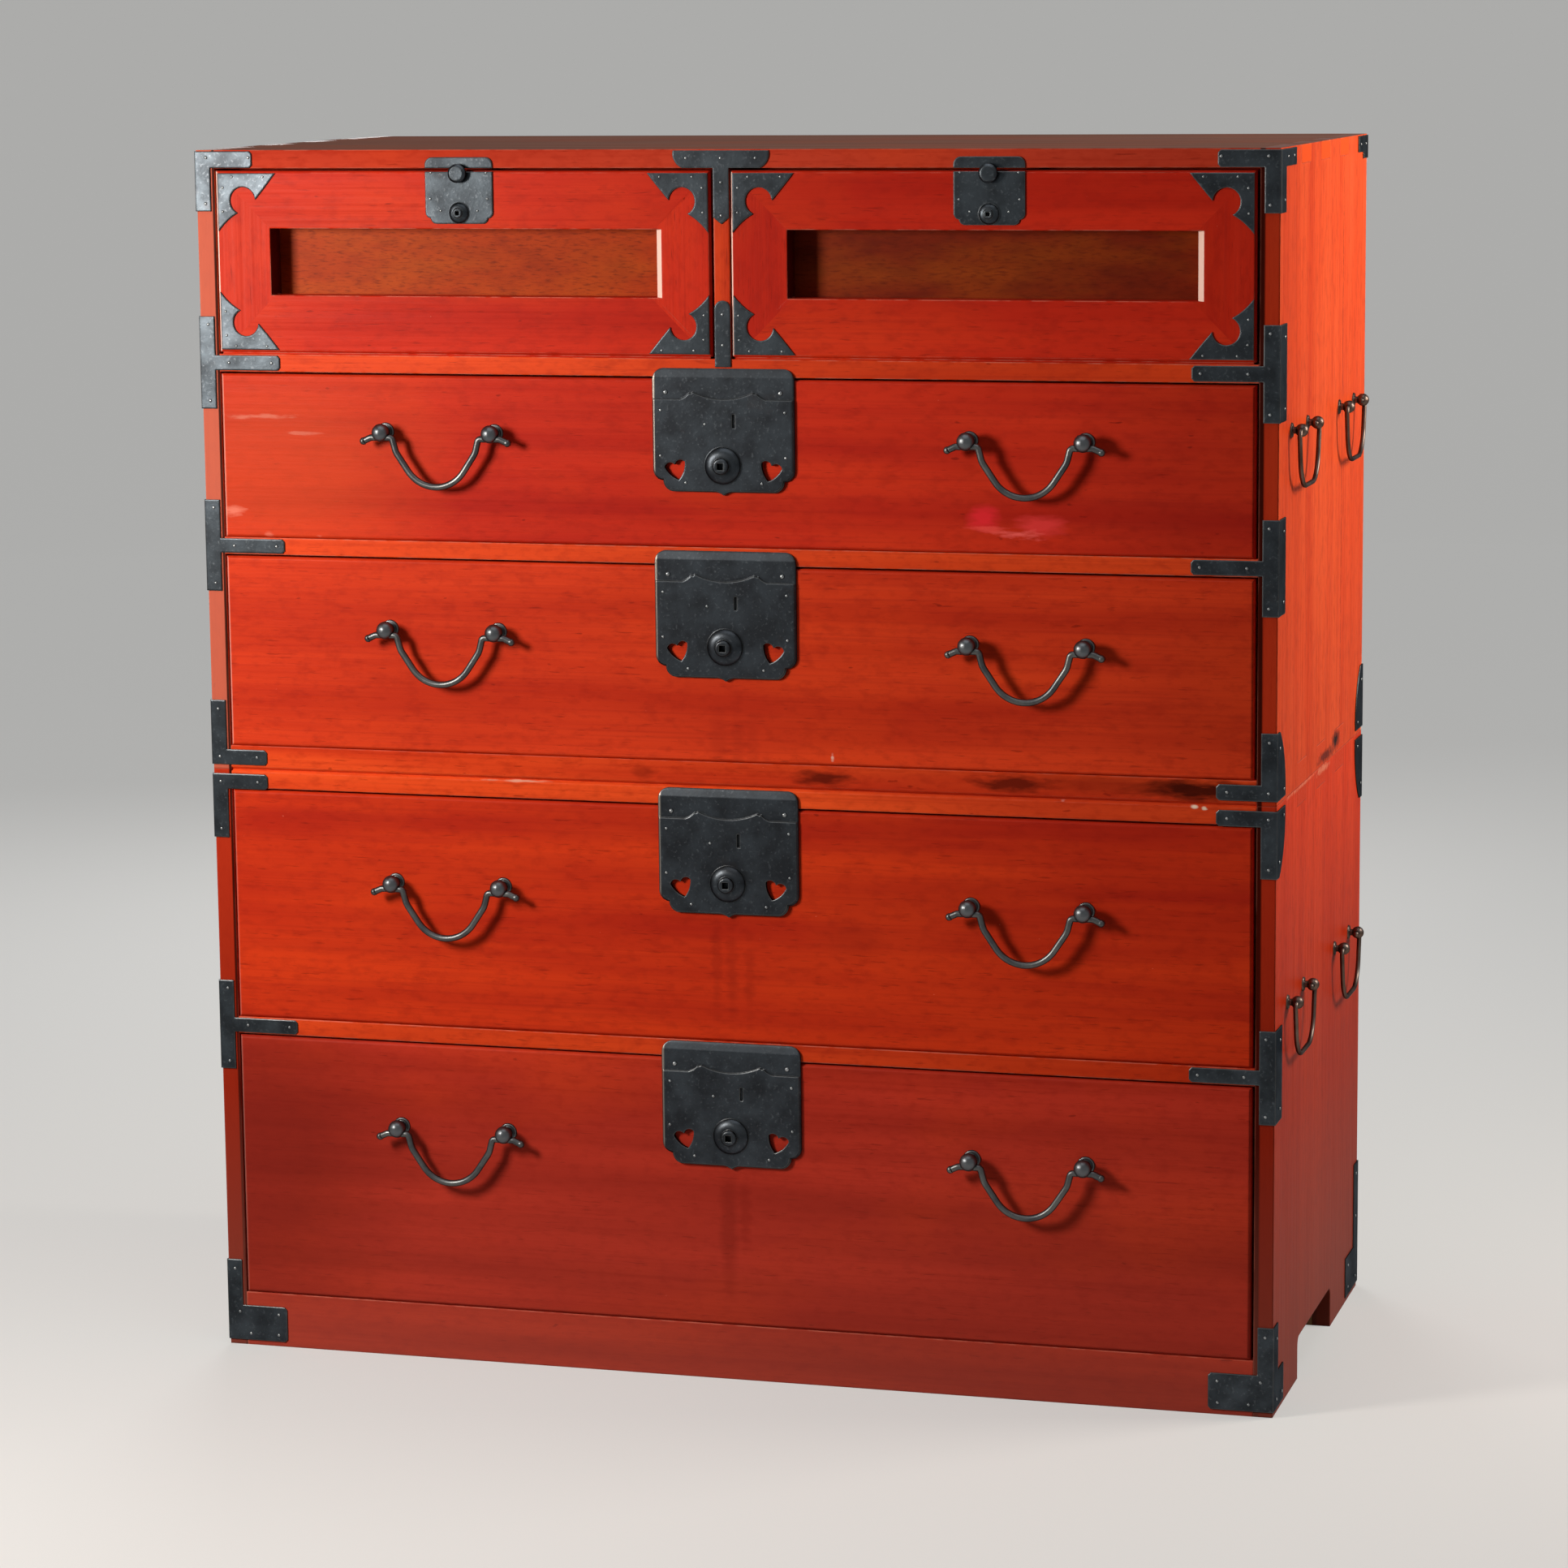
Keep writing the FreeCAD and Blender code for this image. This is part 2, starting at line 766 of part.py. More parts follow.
# Drawers: the front is rebated at its ends and foot for the sides and the floor
def drawer_front(low, height, handle_drop):
    rear = drawer_front_thick - drawer_proud
    high = low + height
    front = box(drawer_left, drawer_right, -drawer_proud, rear, low, high)
    rim = edges_at(front, -drawer_proud, half_width, low - overrun, high + overrun)
    front = front.makeChamfer(drawer_bevel, rim)
    seat = rear - drawer_rebate
    side = drawer_side_thick
    front = front.cut(box(drawer_left - overrun, drawer_left + side, seat, rear + overrun,
                          low - overrun, high + overrun))
    front = front.cut(box(drawer_right - side, drawer_right + overrun, seat, rear + overrun,
                          low - overrun, high + overrun))
    front = front.cut(box(drawer_left - overrun, drawer_right + overrun, seat, rear + overrun,
                          low - overrun, low + drawer_floor_thick))
    slot_low = high - bolt_sunk - bolt_length - drawer_rest_gap
    half = bolt_width / 2 + bolt_gap
    reach = bolt_thick / 2 + bolt_gap
    middle = drawer_bolt_y()
    front = front.cut(box(-half, half, middle - reach, middle + reach, slot_low, high + overrun))
    level = high - handle_drop
    length = drawer_front_thick + 2 * overrun
    for x_place in post_places():
        start = V(x_place, -drawer_proud - overrun, level)
        bore = Part.makeCylinder(post_shank_radius + post_bore_gap, length, start, V(0, 1, 0))
        front = front.cut(bore)
    return front


def drawer_box(low, height):
    seat = drawer_front_thick - drawer_proud - drawer_rebate
    rear = drawer_length
    side_low = low + drawer_floor_thick
    side_high = low + height - drawer_side_drop
    side = drawer_side_thick
    inner_left = drawer_left + side
    inner_right = drawer_right - side
    left = box(drawer_left, inner_left, seat, rear, side_low, side_high)
    right = box(inner_right, drawer_right, seat, rear, side_low, side_high)
    back = box(inner_left, inner_right, rear - drawer_back_thick, rear, side_low, side_high)
    floor = box(drawer_left, drawer_right, seat, rear, low, side_low)
    return [left, right, back, floor]


def plate_top(low, height, lap):
    return low + height + lap


# A drawer's lock plate, hung from its upper edge at Z = 0: the lip along that edge leans back
def lock_plate(tall):
    half = plate_width / 2
    low = -tall
    corner = plate_corner
    ease = corner * (1 - cos(pi / 4))
    steps = [(half - corner, 0), (half - ease, -ease, half, -corner)] + plate_foot_steps(half, low)
    steps += [(-half, -corner), (ease - half, -ease, corner - half, 0)]
    plate = sheet((corner - half, 0), steps, 0, plate_thick)
    rim = edges_at(plate, -plate_thick, plate_width, low + plate_clip, overrun)
    return plate.makeChamfer(plate_bevel, rim).cut(lip_wedge())


def lip_wedge():
    start = -plate_width / 2 - overrun
    front = -plate_thick - overrun
    back = plate_lip_depth - plate_thick
    corners = [(front, -plate_lip), (-plate_thick, -plate_lip), (back, 0), (back, overrun), (front, overrun)]
    face = Part.Face(closed_wire([V(start, y, z) for y, z in corners]))
    return face.extrude(V(plate_width + 2 * overrun, 0, 0))


# The foot of a drawer's lock plate, with a small hanging point in its middle
drop_hollow_share = 0.3


def plate_foot_steps(half, low):
    drop_half = plate_drop_width / 2
    hollow = plate_drop * drop_hollow_share
    drop = [(drop_half, low), (drop_half / 2, low - hollow, 0, low - plate_drop),
            (-drop_half / 2, low - hollow, -drop_half, low)]
    return scalloped_foot(half, low, plate_clip, plate_cusp, drop)


# The cover sheet over the lower part of a lock plate, with a bracket-shaped upper edge
hook_rise_share = 0.3


def lock_cover(tall):
    half = plate_width / 2 - cover_inset
    edge = -cover_drop
    high = edge + cover_rise
    hook = (cover_notch + cover_shoulder) / 2
    hook_level = edge + cover_rise * hook_rise_share
    steps = [(-cover_shoulder, edge), (-hook, hook_level, -cover_notch, high),
             (0, high - cover_dip, cover_notch, high), (hook, hook_level, cover_shoulder, edge), (half, edge)]
    low = cover_inset - tall
    steps += plate_foot_steps(half, low) + [(-half, edge)]
    cover = sheet((-half, edge), steps, -plate_thick, cover_thick)
    front = -plate_thick - cover_thick
    rim = edges_at(cover, front, plate_width, low + plate_clip, edge - cover_rise)
    cover = cover.makeChamfer(cover_bevel, rim)
    for x_place in (-cover_notch, cover_notch):
        start = V(x_place, -plate_thick, high)
        cover = cover.cut(Part.makeCylinder(cover_notch_radius, cover_thick, start, V(0, -1, 0)))
    slot_left = slot_offset - slot_width / 2
    slot_low = -slot_drop - slot_length / 2
    return cover.cut(box(slot_left, slot_left + slot_width, front - overrun, -plate_thick,
                         slot_low, slot_low + slot_length))


# A heart with its point down, drawn about the middle of its lobes
heart_bow_shares = (0.75, 0.45)
heart_lobe_share = 0.62


def heart(turn):
    half = heart_width / 2
    lobe = half / 2
    point = lobe - heart_height
    bow = (half * heart_bow_shares[0], point * heart_bow_shares[1])
    crest = lobe * heart_lobe_share
    steps = [(lobe, crest, half, 0), bow + (0, point), (-bow[0], bow[1], -half, 0), (-lobe, crest, 0, 0)]
    shape = sheet((0, 0), steps, overrun, 2 * overrun + plate_thick + cover_thick)
    shape.rotate(V(0, 0, 0), V(0, 1, 0), turn)
    return shape


def drawer_lock(low, height, lap, tall):
    plate = lock_plate(tall)
    cover = lock_cover(tall)
    for sign in (-1, 1):
        cutter = heart(sign * heart_tilt)
        cutter.translate(V(sign * heart_spread, 0, -heart_drop))
        plate = plate.cut(cutter)
        cover = cover.cut(cutter)
    boss = keyed_boss(boss_radius, boss_height, boss_crown_radius, boss_crown_height,
                      boss_ease, keyhole_size, keyhole_depth)
    boss.translate(V(0, -plate_thick - cover_thick, -boss_drop))
    placed = [plate, cover, boss]
    for piece in placed:
        piece.translate(V(0, -drawer_proud, plate_top(low, height, lap)))
    return placed


def drawer_bolt(low, height):
    top = low + height - bolt_sunk
    half = bolt_width / 2
    near = drawer_bolt_y() - bolt_thick / 2
    return box(-half, half, near, near + bolt_thick, top - bolt_length, top)


# A wire bent through corner points in X and Z, each inner corner eased by its radius
def bent_wire(points, bends, radius, tip_radius):
    spots = [V(x, 0, z) for x, z in points]
    edges = []
    here = spots[0]
    for before, corner, after, bend in zip(spots, spots[1:], spots[2:], bends):
        back = (before - corner).normalize()
        onward = (after - corner).normalize()
        half_angle = back.getAngle(onward) / 2
        run = bend / tan(half_angle)
        inward = (back + onward).normalize()
        middle = corner + inward * (bend / sin(half_angle) - bend)
        edges.append(Part.makeLine(here, corner + back * run))
        edges.append(Part.Arc(corner + back * run, middle, corner + onward * run).toShape())
        here = corner + onward * run
    edges.append(Part.makeLine(here, spots[-1]))
    profile = Part.Wire(Part.makeCircle(radius, spots[0], spots[1] - spots[0]))
    wire = Part.Wire(edges).makePipeShell([profile], True, False)
    ends = [Part.makeSphere(tip_radius, spots[0]), Part.makeSphere(tip_radius, spots[-1])]
    return wire.multiFuse(ends)


def drawer_bail():
    half = post_spacing / 2
    clear = post_ball_radius + bail_ball_gap
    near = half - clear - bail_shoulder_run
    far = half + clear + bail_tip_run
    tip = far + bail_tip_length
    left_end = [(-tip, -bail_tip_droop), (-far, 0), (-near, 0), (-bail_arm_half, -bail_arm_drop)]
    right_end = [(-x, z) for x, z in reversed(left_end)]
    points = left_end + [(0, -bail_vertex)] + right_end
    eases = [bail_shoulder_bend, bail_shoulder_bend, bail_arm_bend]
    return bent_wire(points, eases + [bail_bend] + eases[::-1], bail_radius, bail_tip_radius)


def side_bail():
    half = side_post_spacing / 2
    clear = side_post_ball + bail_ball_gap
    arm = half + clear + side_bail_shoulder
    tip = half - clear - side_bail_tip
    foot = side_bail_foot / 2
    low = -side_bail_drop
    points = [(-tip, 0), (-arm, 0), (-foot, low), (foot, low), (arm, 0), (tip, 0)]
    bends = [side_bail_shoulder, side_bail_bend, side_bail_bend, side_bail_shoulder]
    return bent_wire(points, bends, side_bail_radius, side_bail_tip_radius)


# A ball-headed eye post standing forward from Y = 0, with the bail's eye bored along X
def eye_post(ball, standoff, neck, rose, eye_drop, eye_radius):
    head = Part.makeSphere(ball)
    head.rotate(V(0, 0, 0), V(0, 0, 1), -90)
    head.translate(V(0, -standoff, 0))
    stem = Part.makeCylinder(neck, standoff, V(0, -standoff, 0), V(0, 1, 0))
    plate = Part.makeCone(rose, rose - post_rose_thick / 2, post_rose_thick, V(0, 0, 0), V(0, -1, 0))
    start = V(-ball - overrun, -standoff, -eye_drop)
    eye = Part.makeCylinder(eye_radius, 2 * ball + 2 * overrun, start, V(1, 0, 0))
    return joined([head, stem, plate]).cut(eye)


def drawer_post():
    post = eye_post(post_ball_radius, post_standoff, post_neck_radius, post_rose_radius,
                    post_eye_drop, bail_radius + bail_eye_gap)
    shank = Part.makeCylinder(post_shank_radius, drawer_front_thick + post_leg_thick, V(0, 0, 0), V(0, 1, 0))
    width = post_shank_radius
    rear = drawer_front_thick
    legs = box(-width, width, rear, rear + post_leg_thick, -post_leg_length, post_leg_length)
    return joined([post, shank, legs])


def side_post():
    post = eye_post(side_post_ball, side_post_standoff, side_post_neck, side_post_rose,
                    0, side_bail_radius + bail_eye_gap)
    shank = Part.makeCylinder(side_post_shank, side_post_depth, V(0, 0, 0), V(0, 1, 0))
    return joined([post, shank])


def handle_middles():
    return (-handle_left_x, handle_right_x)


def post_places():
    half = post_spacing / 2
    return [middle + sign * half for middle in handle_middles() for sign in (-1, 1)]


def drawer_posts(low, height, handle_drop):
    posts = []
    for x_place in post_places():
        post = drawer_post()
        post.translate(V(x_place, -drawer_proud, low + height - handle_drop))
        posts.append(post)
    return posts


def placed_drawer_bail(x_middle, low, height, handle_drop):
    bail = drawer_bail()
    level = low + height - handle_drop - post_eye_drop
    bail.translate(V(x_middle, -drawer_proud - post_standoff, level))
    return bail


# Side handles are drawn facing forward and turned to face out from the right side
def on_right_side(shape, y_place, level):
    turned = shape.copy()
    turned.rotate(V(0, 0, 0), V(0, 0, 1), 90)
    turned.translate(V(half_width, y_place, level))
    return turned


def side_posts(level):
    half = side_post_spacing / 2
    posts = []
    for y_middle in (side_handle_front, side_handle_rear):
        for y_place in (y_middle - half, y_middle + half):
            post = on_right_side(side_post(), y_place, level)
            posts += [post, mirrored(post)]
    return posts


def bored_for_posts(side, level):
    half = side_post_spacing / 2
    radius = side_post_shank + post_bore_gap
    for y_middle in (side_handle_front, side_handle_rear):
        for y_place in (y_middle - half, y_middle + half):
            start = V(half_width + overrun, y_place, level)
            length = side_post_depth + overrun + post_bore_gap
            side = side.cut(Part.makeCylinder(radius, length, start, V(-1, 0, 0)))
    return side


def save_side_bails(case_name, level):
    for place, y_middle in (("front", side_handle_front), ("rear", side_handle_rear)):
        bail = side_bail()
        bail.translate(V(0, -side_post_standoff, 0))
        right = on_right_side(bail, y_middle, level)
        save(case_name + "_right_" + place + "_bail", [right])
        save(case_name + "_left_" + place + "_bail", [mirrored(right)])


def save_lower_case():
    level = seam_level - lower_side_handle_drop
    side = bored_for_posts(lower_side(), level)
    save("lower_right_side", [side])
    save("lower_left_side", [mirrored(side)])
    save("lower_top_board", [lower_top_board()])
    save("lower_floor_board", [lower_floor()])
    save("lower_back_boards", back_boards(plinth_height, lower_top_low))
    save("lower_drawer_shelf", shelf(lower_rail_low, lower_rail_high))
    save("plinth_front", [box(-inner_half, inner_half, 0, plinth_thick, 0, plinth_height)])
    save("rear_bearer", [rear_bearer()])
    save("lower_corner_irons", lower_corner_irons())
    save("lower_handle_posts", side_posts(level))
    save_side_bails("lower", level)


def save_upper_case():
    level = case_high - upper_side_handle_drop
    side = bored_for_posts(upper_side(), level)
    save("upper_right_side", [side])
    save("upper_left_side", [mirrored(side)])
    save("upper_top_board", upper_top_board())
    save("upper_floor_board", [seam_board(seam_level, upper_floor_high, seam_level)])
    save("upper_back_boards", back_boards(upper_floor_high, top_low))
    save("upper_drawer_shelf", shelf(upper_rail_low, upper_rail_high))
    save("door_sill_shelf", door_sill())
    save("centre_divider", centre_divider())
    save("upper_corner_irons", upper_corner_irons())
    save("upper_handle_posts", side_posts(level))
    save_side_bails("upper", level)


def save_door(name, left):
    save(name + "_frame", door_frame(left))
    save(name + "_panel", [door_panel(left)])
    save(name + "_irons", door_leaves(left) + door_lock(left))
    save(name + "_bolt", [door_bolt(left)])


def save_drawer(name, low, height, handle_drop, lap, tall):
    save(name + "_front", [drawer_front(low, height, handle_drop)])
    save(name + "_box", drawer_box(low, height))
    save(name + "_ironwork", drawer_lock(low, height, lap, tall) + drawer_posts(low, height, handle_drop))
    save(name + "_bolt", [drawer_bolt(low, height)])
    for place, x_middle in zip(("left", "right"), handle_middles()):
        save(name + "_" + place + "_bail", [placed_drawer_bail(x_middle, low, height, handle_drop)])


save_lower_case()
save_upper_case()
for door_name, door_left_edge in zip(("left_door", "right_door"), door_lefts()):
    save_door(door_name, door_left_edge)
save_drawer("drawer_1", drawer_1_low, drawer_1_height, handle_1_drop, plate_1_lap, plate_1_height)
save_drawer("drawer_2", drawer_2_low, drawer_2_height, handle_2_drop, plate_2_lap, plate_height)
save_drawer("drawer_3", drawer_3_low, drawer_3_height, handle_3_drop, plate_3_lap, plate_height)
save_drawer("drawer_4", drawer_4_low, drawer_4_height, handle_4_drop, plate_4_lap, plate_height)
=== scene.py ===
import bmesh
import bpy
import math
from mathutils import Matrix, Vector


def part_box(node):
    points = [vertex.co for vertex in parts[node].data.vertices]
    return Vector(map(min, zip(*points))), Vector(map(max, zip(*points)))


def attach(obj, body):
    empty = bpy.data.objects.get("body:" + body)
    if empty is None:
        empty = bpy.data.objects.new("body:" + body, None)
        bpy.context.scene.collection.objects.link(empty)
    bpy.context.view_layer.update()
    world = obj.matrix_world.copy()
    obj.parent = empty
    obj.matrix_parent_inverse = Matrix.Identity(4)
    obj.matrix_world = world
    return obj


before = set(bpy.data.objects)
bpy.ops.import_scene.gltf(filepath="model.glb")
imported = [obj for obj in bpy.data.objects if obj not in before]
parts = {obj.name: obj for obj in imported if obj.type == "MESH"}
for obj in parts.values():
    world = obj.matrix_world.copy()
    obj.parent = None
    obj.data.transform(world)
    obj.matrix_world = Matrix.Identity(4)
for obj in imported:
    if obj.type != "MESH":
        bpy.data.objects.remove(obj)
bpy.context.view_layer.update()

# Cases. Two boxes of plain softwood boards, one standing on the other, finger-jointed at the corners.
# The boards were brushed with iron-red pigment and wiped with thin lacquer, so the grain shows through.
# The faces inside were never coated and stay bare.


def linear(code):
    shares = [int(code[i:i + 2], 16) / 255 for i in (1, 3, 5)]
    return [c / 12.92 if c <= 0.04045 else ((c + 0.055) / 1.055) ** 2.4 for c in shares] + [1.0]


def add(tree, kind, inputs=None, **settings):
    made = tree.nodes.new(kind)
    for key, value in settings.items():
        setattr(made, key, value)
    for key, value in (inputs or {}).items():
        if isinstance(value, bpy.types.NodeSocket):
            tree.links.new(value, made.inputs[key])
        else:
            made.inputs[key].default_value = value
    return made


def new_finish(name):
    finish = bpy.data.materials.new(name)
    finish.use_nodes = True
    finish.node_tree.nodes.clear()
    return finish, finish.node_tree


# Wood grain is noise pulled out along the board: its length and width are in millimetres.
# The finest lines of the real wood, under a millimetre, are drawn two or three wide so that they show.
def grain(tree, place, along, length, width, seed, detail=3.0):
    scale = [1000 / width] * 3
    scale[along] = 1000 / length
    pulled = add(tree, "ShaderNodeMapping", {"Vector": place, "Scale": scale,
                                             "Location": (seed, seed * 1.7, seed * 0.6)})
    return add(tree, "ShaderNodeTexNoise", {"Vector": pulled.outputs[0], "Scale": 1.0, "Detail": detail,
                                            "Roughness": 0.55}).outputs["Fac"]


# Coats go on one over another: each has the pattern it follows, where it starts and is full, its
# greatest share and its tone
def coated(tree, colour, coats):
    for pattern, start, full, share, tone in coats:
        cover = add(tree, "ShaderNodeMapRange", {0: pattern, 1: start, 2: full, 4: share}).outputs[0]
        colour = add(tree, "ShaderNodeMix", {0: cover, 6: colour, 7: linear(tone)}, data_type="RGBA").outputs[2]
    return colour


# How near a point is to the middle of a mark, 0 there and 1 at its edge, made ragged by fine grain.
# The middle and the half sizes are millimetres in the part's frame, and small marks are torn the most.
def ragged_reach(tree, place, middle, reach, fray):
    most_torn, torn_size = 1.4, 5
    moved = add(tree, "ShaderNodeVectorMath", {0: place, 1: Vector(middle) / 1000}, operation="SUBTRACT")
    shrunk = add(tree, "ShaderNodeVectorMath", {0: moved.outputs[0], 1: Vector(reach) / 1000},
                 operation="DIVIDE")
    away = add(tree, "ShaderNodeVectorMath", {0: shrunk.outputs[0]}, operation="LENGTH").outputs["Value"]
    tear = most_torn * min(1.0, torn_size / min(reach))
    torn = add(tree, "ShaderNodeMath", {0: fray, 1: 2 * tear, 2: -tear}, operation="MULTIPLY_ADD").outputs[0]
    return add(tree, "ShaderNodeMath", {0: away, 1: torn}, operation="ADD").outputs[0]


# Rounded-over edges: the softened normal, and how far it leans from the true face, where hands rub first
def rubbed_edge(tree, radius):
    soft = add(tree, "ShaderNodeBevel", {"Radius": radius}, samples=8).outputs[0]
    flat = add(tree, "ShaderNodeNewGeometry").outputs["True Normal"]
    facing = add(tree, "ShaderNodeVectorMath", {0: soft, 1: flat}, operation="DOT_PRODUCT").outputs["Value"]
    return soft, add(tree, "ShaderNodeMapRange", {0: facing, 1: 0.995, 2: 0.86}).outputs[0]


# Old iron-red lacquer, wiped thin and polished by hands. The eye sees a deep warm red with darker
# grain, dull glints, dark pores, and pale pink wood along edges where the coat has gone; on the slopes
# towards the key lamp the pale bare wood is both wear and a painted highlight.
# bare gives how far back and how near the middle the uncoated wood begins; mitre is a door frame's
# middle and half size, and its faces that look right get painted shade; marks_and_painted_light are
# stains, chips and drips, and also painted shadow, shade and light; dust_and_shade gives coats by level,
# each with its start, full level, share and tone, which are dust and, on the lower sides, painted shade;
# edge is how much the edges are rubbed and the slopes towards the key lamp paled; front_tone and end_tone
# are those of a board's front edge and ends; gap is the width of the painted shadow that the doors and
# drawer fronts cast along the inner edge of a side's front; gloss is what polishing has left.
def red_lacquer(name, along, light_tone, deep_tone, seed, bare=None, mitre=None, marks_and_painted_light=(), dust_and_shade=(), edge=1.0,
                front_tone=None, end_tone=None, gap=0.0, gloss=0.07):
    finish, tree = new_finish(name)
    coords = add(tree, "ShaderNodeTexCoord")
    here = coords.outputs["Object"]
    axes = add(tree, "ShaderNodeSeparateXYZ", {0: here})
    place = here
    if mitre:
        middle, half = mitre
        shifted = add(tree, "ShaderNodeVectorMath", {0: here, 1: middle}, operation="SUBTRACT").outputs[0]
        off = add(tree, "ShaderNodeSeparateXYZ", {0: shifted})
        across = add(tree, "ShaderNodeMath", {0: off.outputs[0]}, operation="ABSOLUTE").outputs[0]
        upward = add(tree, "ShaderNodeMath", {0: off.outputs[2]}, operation="ABSOLUTE").outputs[0]
        inset = add(tree, "ShaderNodeMath", {0: across, 1: half.x - half.z}, operation="SUBTRACT").outputs[0]
        stile = add(tree, "ShaderNodeMath", {0: inset, 1: upward}, operation="GREATER_THAN").outputs[0]
        swapped = add(tree, "ShaderNodeCombineXYZ",
                      {0: axes.outputs[2], 1: axes.outputs[1], 2: axes.outputs[0]}).outputs[0]
        place = add(tree, "ShaderNodeMix", {0: stile, 4: here, 5: swapped}, data_type="VECTOR").outputs[1]
    figure = grain(tree, place, along, 900, 42, seed)
    lines = grain(tree, place, along, 240, 2.8, seed + 3, 5.0)
    pores = grain(tree, place, along, 22, 1.9, seed + 7, 2.0)
    knocks = grain(tree, place, along, 16, 5, seed + 9, 1.0)
    clouds = grain(tree, place, along, 260, 120, seed + 11)
    mottle = grain(tree, place, along, 15, 7, seed + 13, 4.0)
    nicks = grain(tree, place, along, 5, 3, seed + 19, 2.0)
    colour = coated(tree, linear(deep_tone), (
        (figure, 0.34, 0.62, 1.0, light_tone), (clouds, 0.5, 0.75, 0.4, "#DA4416"),
        (mottle, 0.48, 0.72, 0.3, "#86150B"), (lines, 0.5, 0.75, 0.3, "#8E1409"),
        (pores, 0.64, 0.74, 0.4, "#5E0E06"), (knocks, 0.76, 0.81, 0.5, "#5E0E06"),
        (nicks, 0.79, 0.83, 0.5, "#E28A74")))
    faces = add(tree, "ShaderNodeSeparateXYZ", {0: coords.outputs["Normal"]})
    if front_tone:
        colour = coated(tree, colour, ((faces.outputs[1], -0.5, -0.9, 0.8, front_tone),))
    if end_tone:
        endwise = add(tree, "ShaderNodeMath", {0: faces.outputs[along]}, operation="ABSOLUTE").outputs[0]
        colour = coated(tree, colour, ((endwise, 0.6, 0.9, 0.94, end_tone),))
    outward = add(tree, "ShaderNodeMath", {0: axes.outputs[0]}, operation="ABSOLUTE").outputs[0]
    # Painted shadow: a near-black band along the inner edge of a side's front, where the doors and drawer
    # fronts cast their shade
    if gap:
        inmost = add(tree, "ShaderNodeMapRange",
                     {0: outward, 1: inner_half + gap, 2: inner_half + 0.7 * gap}).outputs[0]
        ahead = add(tree, "ShaderNodeMapRange", {0: faces.outputs[1], 1: -0.5, 2: -0.9}).outputs[0]
        cast_shadow = add(tree, "ShaderNodeMath", {0: inmost, 1: ahead}, operation="MULTIPLY").outputs[0]
        colour = coated(tree, colour, ((cast_shadow, 0.0, 1.0, 0.92, "#160604"),))
    # Painted shade: the frame faces that look right, the window's left jamb and the door's right edge, are
    # darkened almost to black
    if mitre:
        colour = coated(tree, colour, ((faces.outputs[0], 0.6, 0.9, 0.85, "#2A0604"),))
    # Coats by level: dust, and painted shade that darkens towards the bottom
    colour = coated(tree, colour, [(axes.outputs[2],) + coat for coat in dust_and_shade])
    fray = grain(tree, here, 0, 24, 6, seed + 23, 5.0)
    # Each mark is a stain, chip or drip, or a patch of painted shadow, shade or light
    for middle, reach, share, tone in marks_and_painted_light:
        near = ragged_reach(tree, here, middle, reach, fray)
        colour = coated(tree, colour, ((near, 1.0, 0.35, share, tone),))
    worn_round = 0.0024
    soft, turned = rubbed_edge(tree, worn_round)
    # Wear and painted highlight: slopes whose faces lean both left and forward, or both right and back, turn
    # pale bare wood; on the front these are the slopes towards the key lamp
    lamp_side_slope = add(tree, "ShaderNodeMath", {0: faces.outputs[0], 1: faces.outputs[1]}, operation="MULTIPLY")
    gone = grain(tree, here, 2, 70, 16, seed + 17)
    held = add(tree, "ShaderNodeMapRange", {0: gone, 1: 0.36, 2: 0.58}).outputs[0]
    rubbed = add(tree, "ShaderNodeMath", {0: turned, 1: held}, operation="MULTIPLY").outputs[0]
    colour = coated(tree, colour, ((rubbed, 0.1, 0.9, 0.6 * edge, "#D8806C"),
                                   (lamp_side_slope.outputs[0], 0.2, 0.4, 0.9 * edge, "#F2D2C4")))
    rough = add(tree, "ShaderNodeMapRange", {0: lines, 1: 0.3, 2: 0.75, 3: 0.4, 4: 0.55}).outputs[0]
    if bare:
        behind, within = bare
        deep = add(tree, "ShaderNodeMath", {0: axes.outputs[1], 1: behind}, operation="GREATER_THAN").outputs[0]
        inner = add(tree, "ShaderNodeMath", {0: outward, 1: within}, operation="LESS_THAN").outputs[0]
        inside = add(tree, "ShaderNodeMath", {0: deep, 1: inner}, operation="MULTIPLY").outputs[0]
        rings = grain(tree, here, along, 420, 9, seed + 29, 4.0)
        wood = coated(tree, linear("#B58B5E"), ((rings, 0.35, 0.7, 1.0, "#8A6238"),))
        colour = add(tree, "ShaderNodeMix", {0: inside, 6: colour, 7: wood}, data_type="RGBA").outputs[2]
        rough = add(tree, "ShaderNodeMix", {0: inside, 2: rough, 3: 0.75}, data_type="FLOAT").outputs[0]
    height = add(tree, "ShaderNodeMath", {0: lines, 1: pores}, operation="SUBTRACT").outputs[0]
    relief = add(tree, "ShaderNodeBump", {"Height": height, "Strength": 0.2, "Distance": 0.0004,
                                          "Normal": soft})
    shader = add(tree, "ShaderNodeBsdfPrincipled", {"Base Color": colour, "Roughness": rough, "IOR": 1.5,
                                                    "Specular IOR Level": gloss, "Normal": relief.outputs[0]})
    add(tree, "ShaderNodeOutputMaterial", {"Surface": shader.outputs[0]})
    return finish


def dress(node, finish):
    for slot in parts[node].material_slots:
        slot.material = finish


front_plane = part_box("plinth_front")[0].y
inner_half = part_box("plinth_front")[1].x
half_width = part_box("upper_right_side")[1].x


# A mark has its middle, half sizes, share and tone; these two place it on the front or the right side
def on_front(across, level, reach, share, tone):
    return (across, front_plane * 1000, level), reach, share, tone


def on_right_side(depth, level, reach, share, tone):
    return (half_width * 1000, front_plane * 1000 + depth, level), reach, share, tone
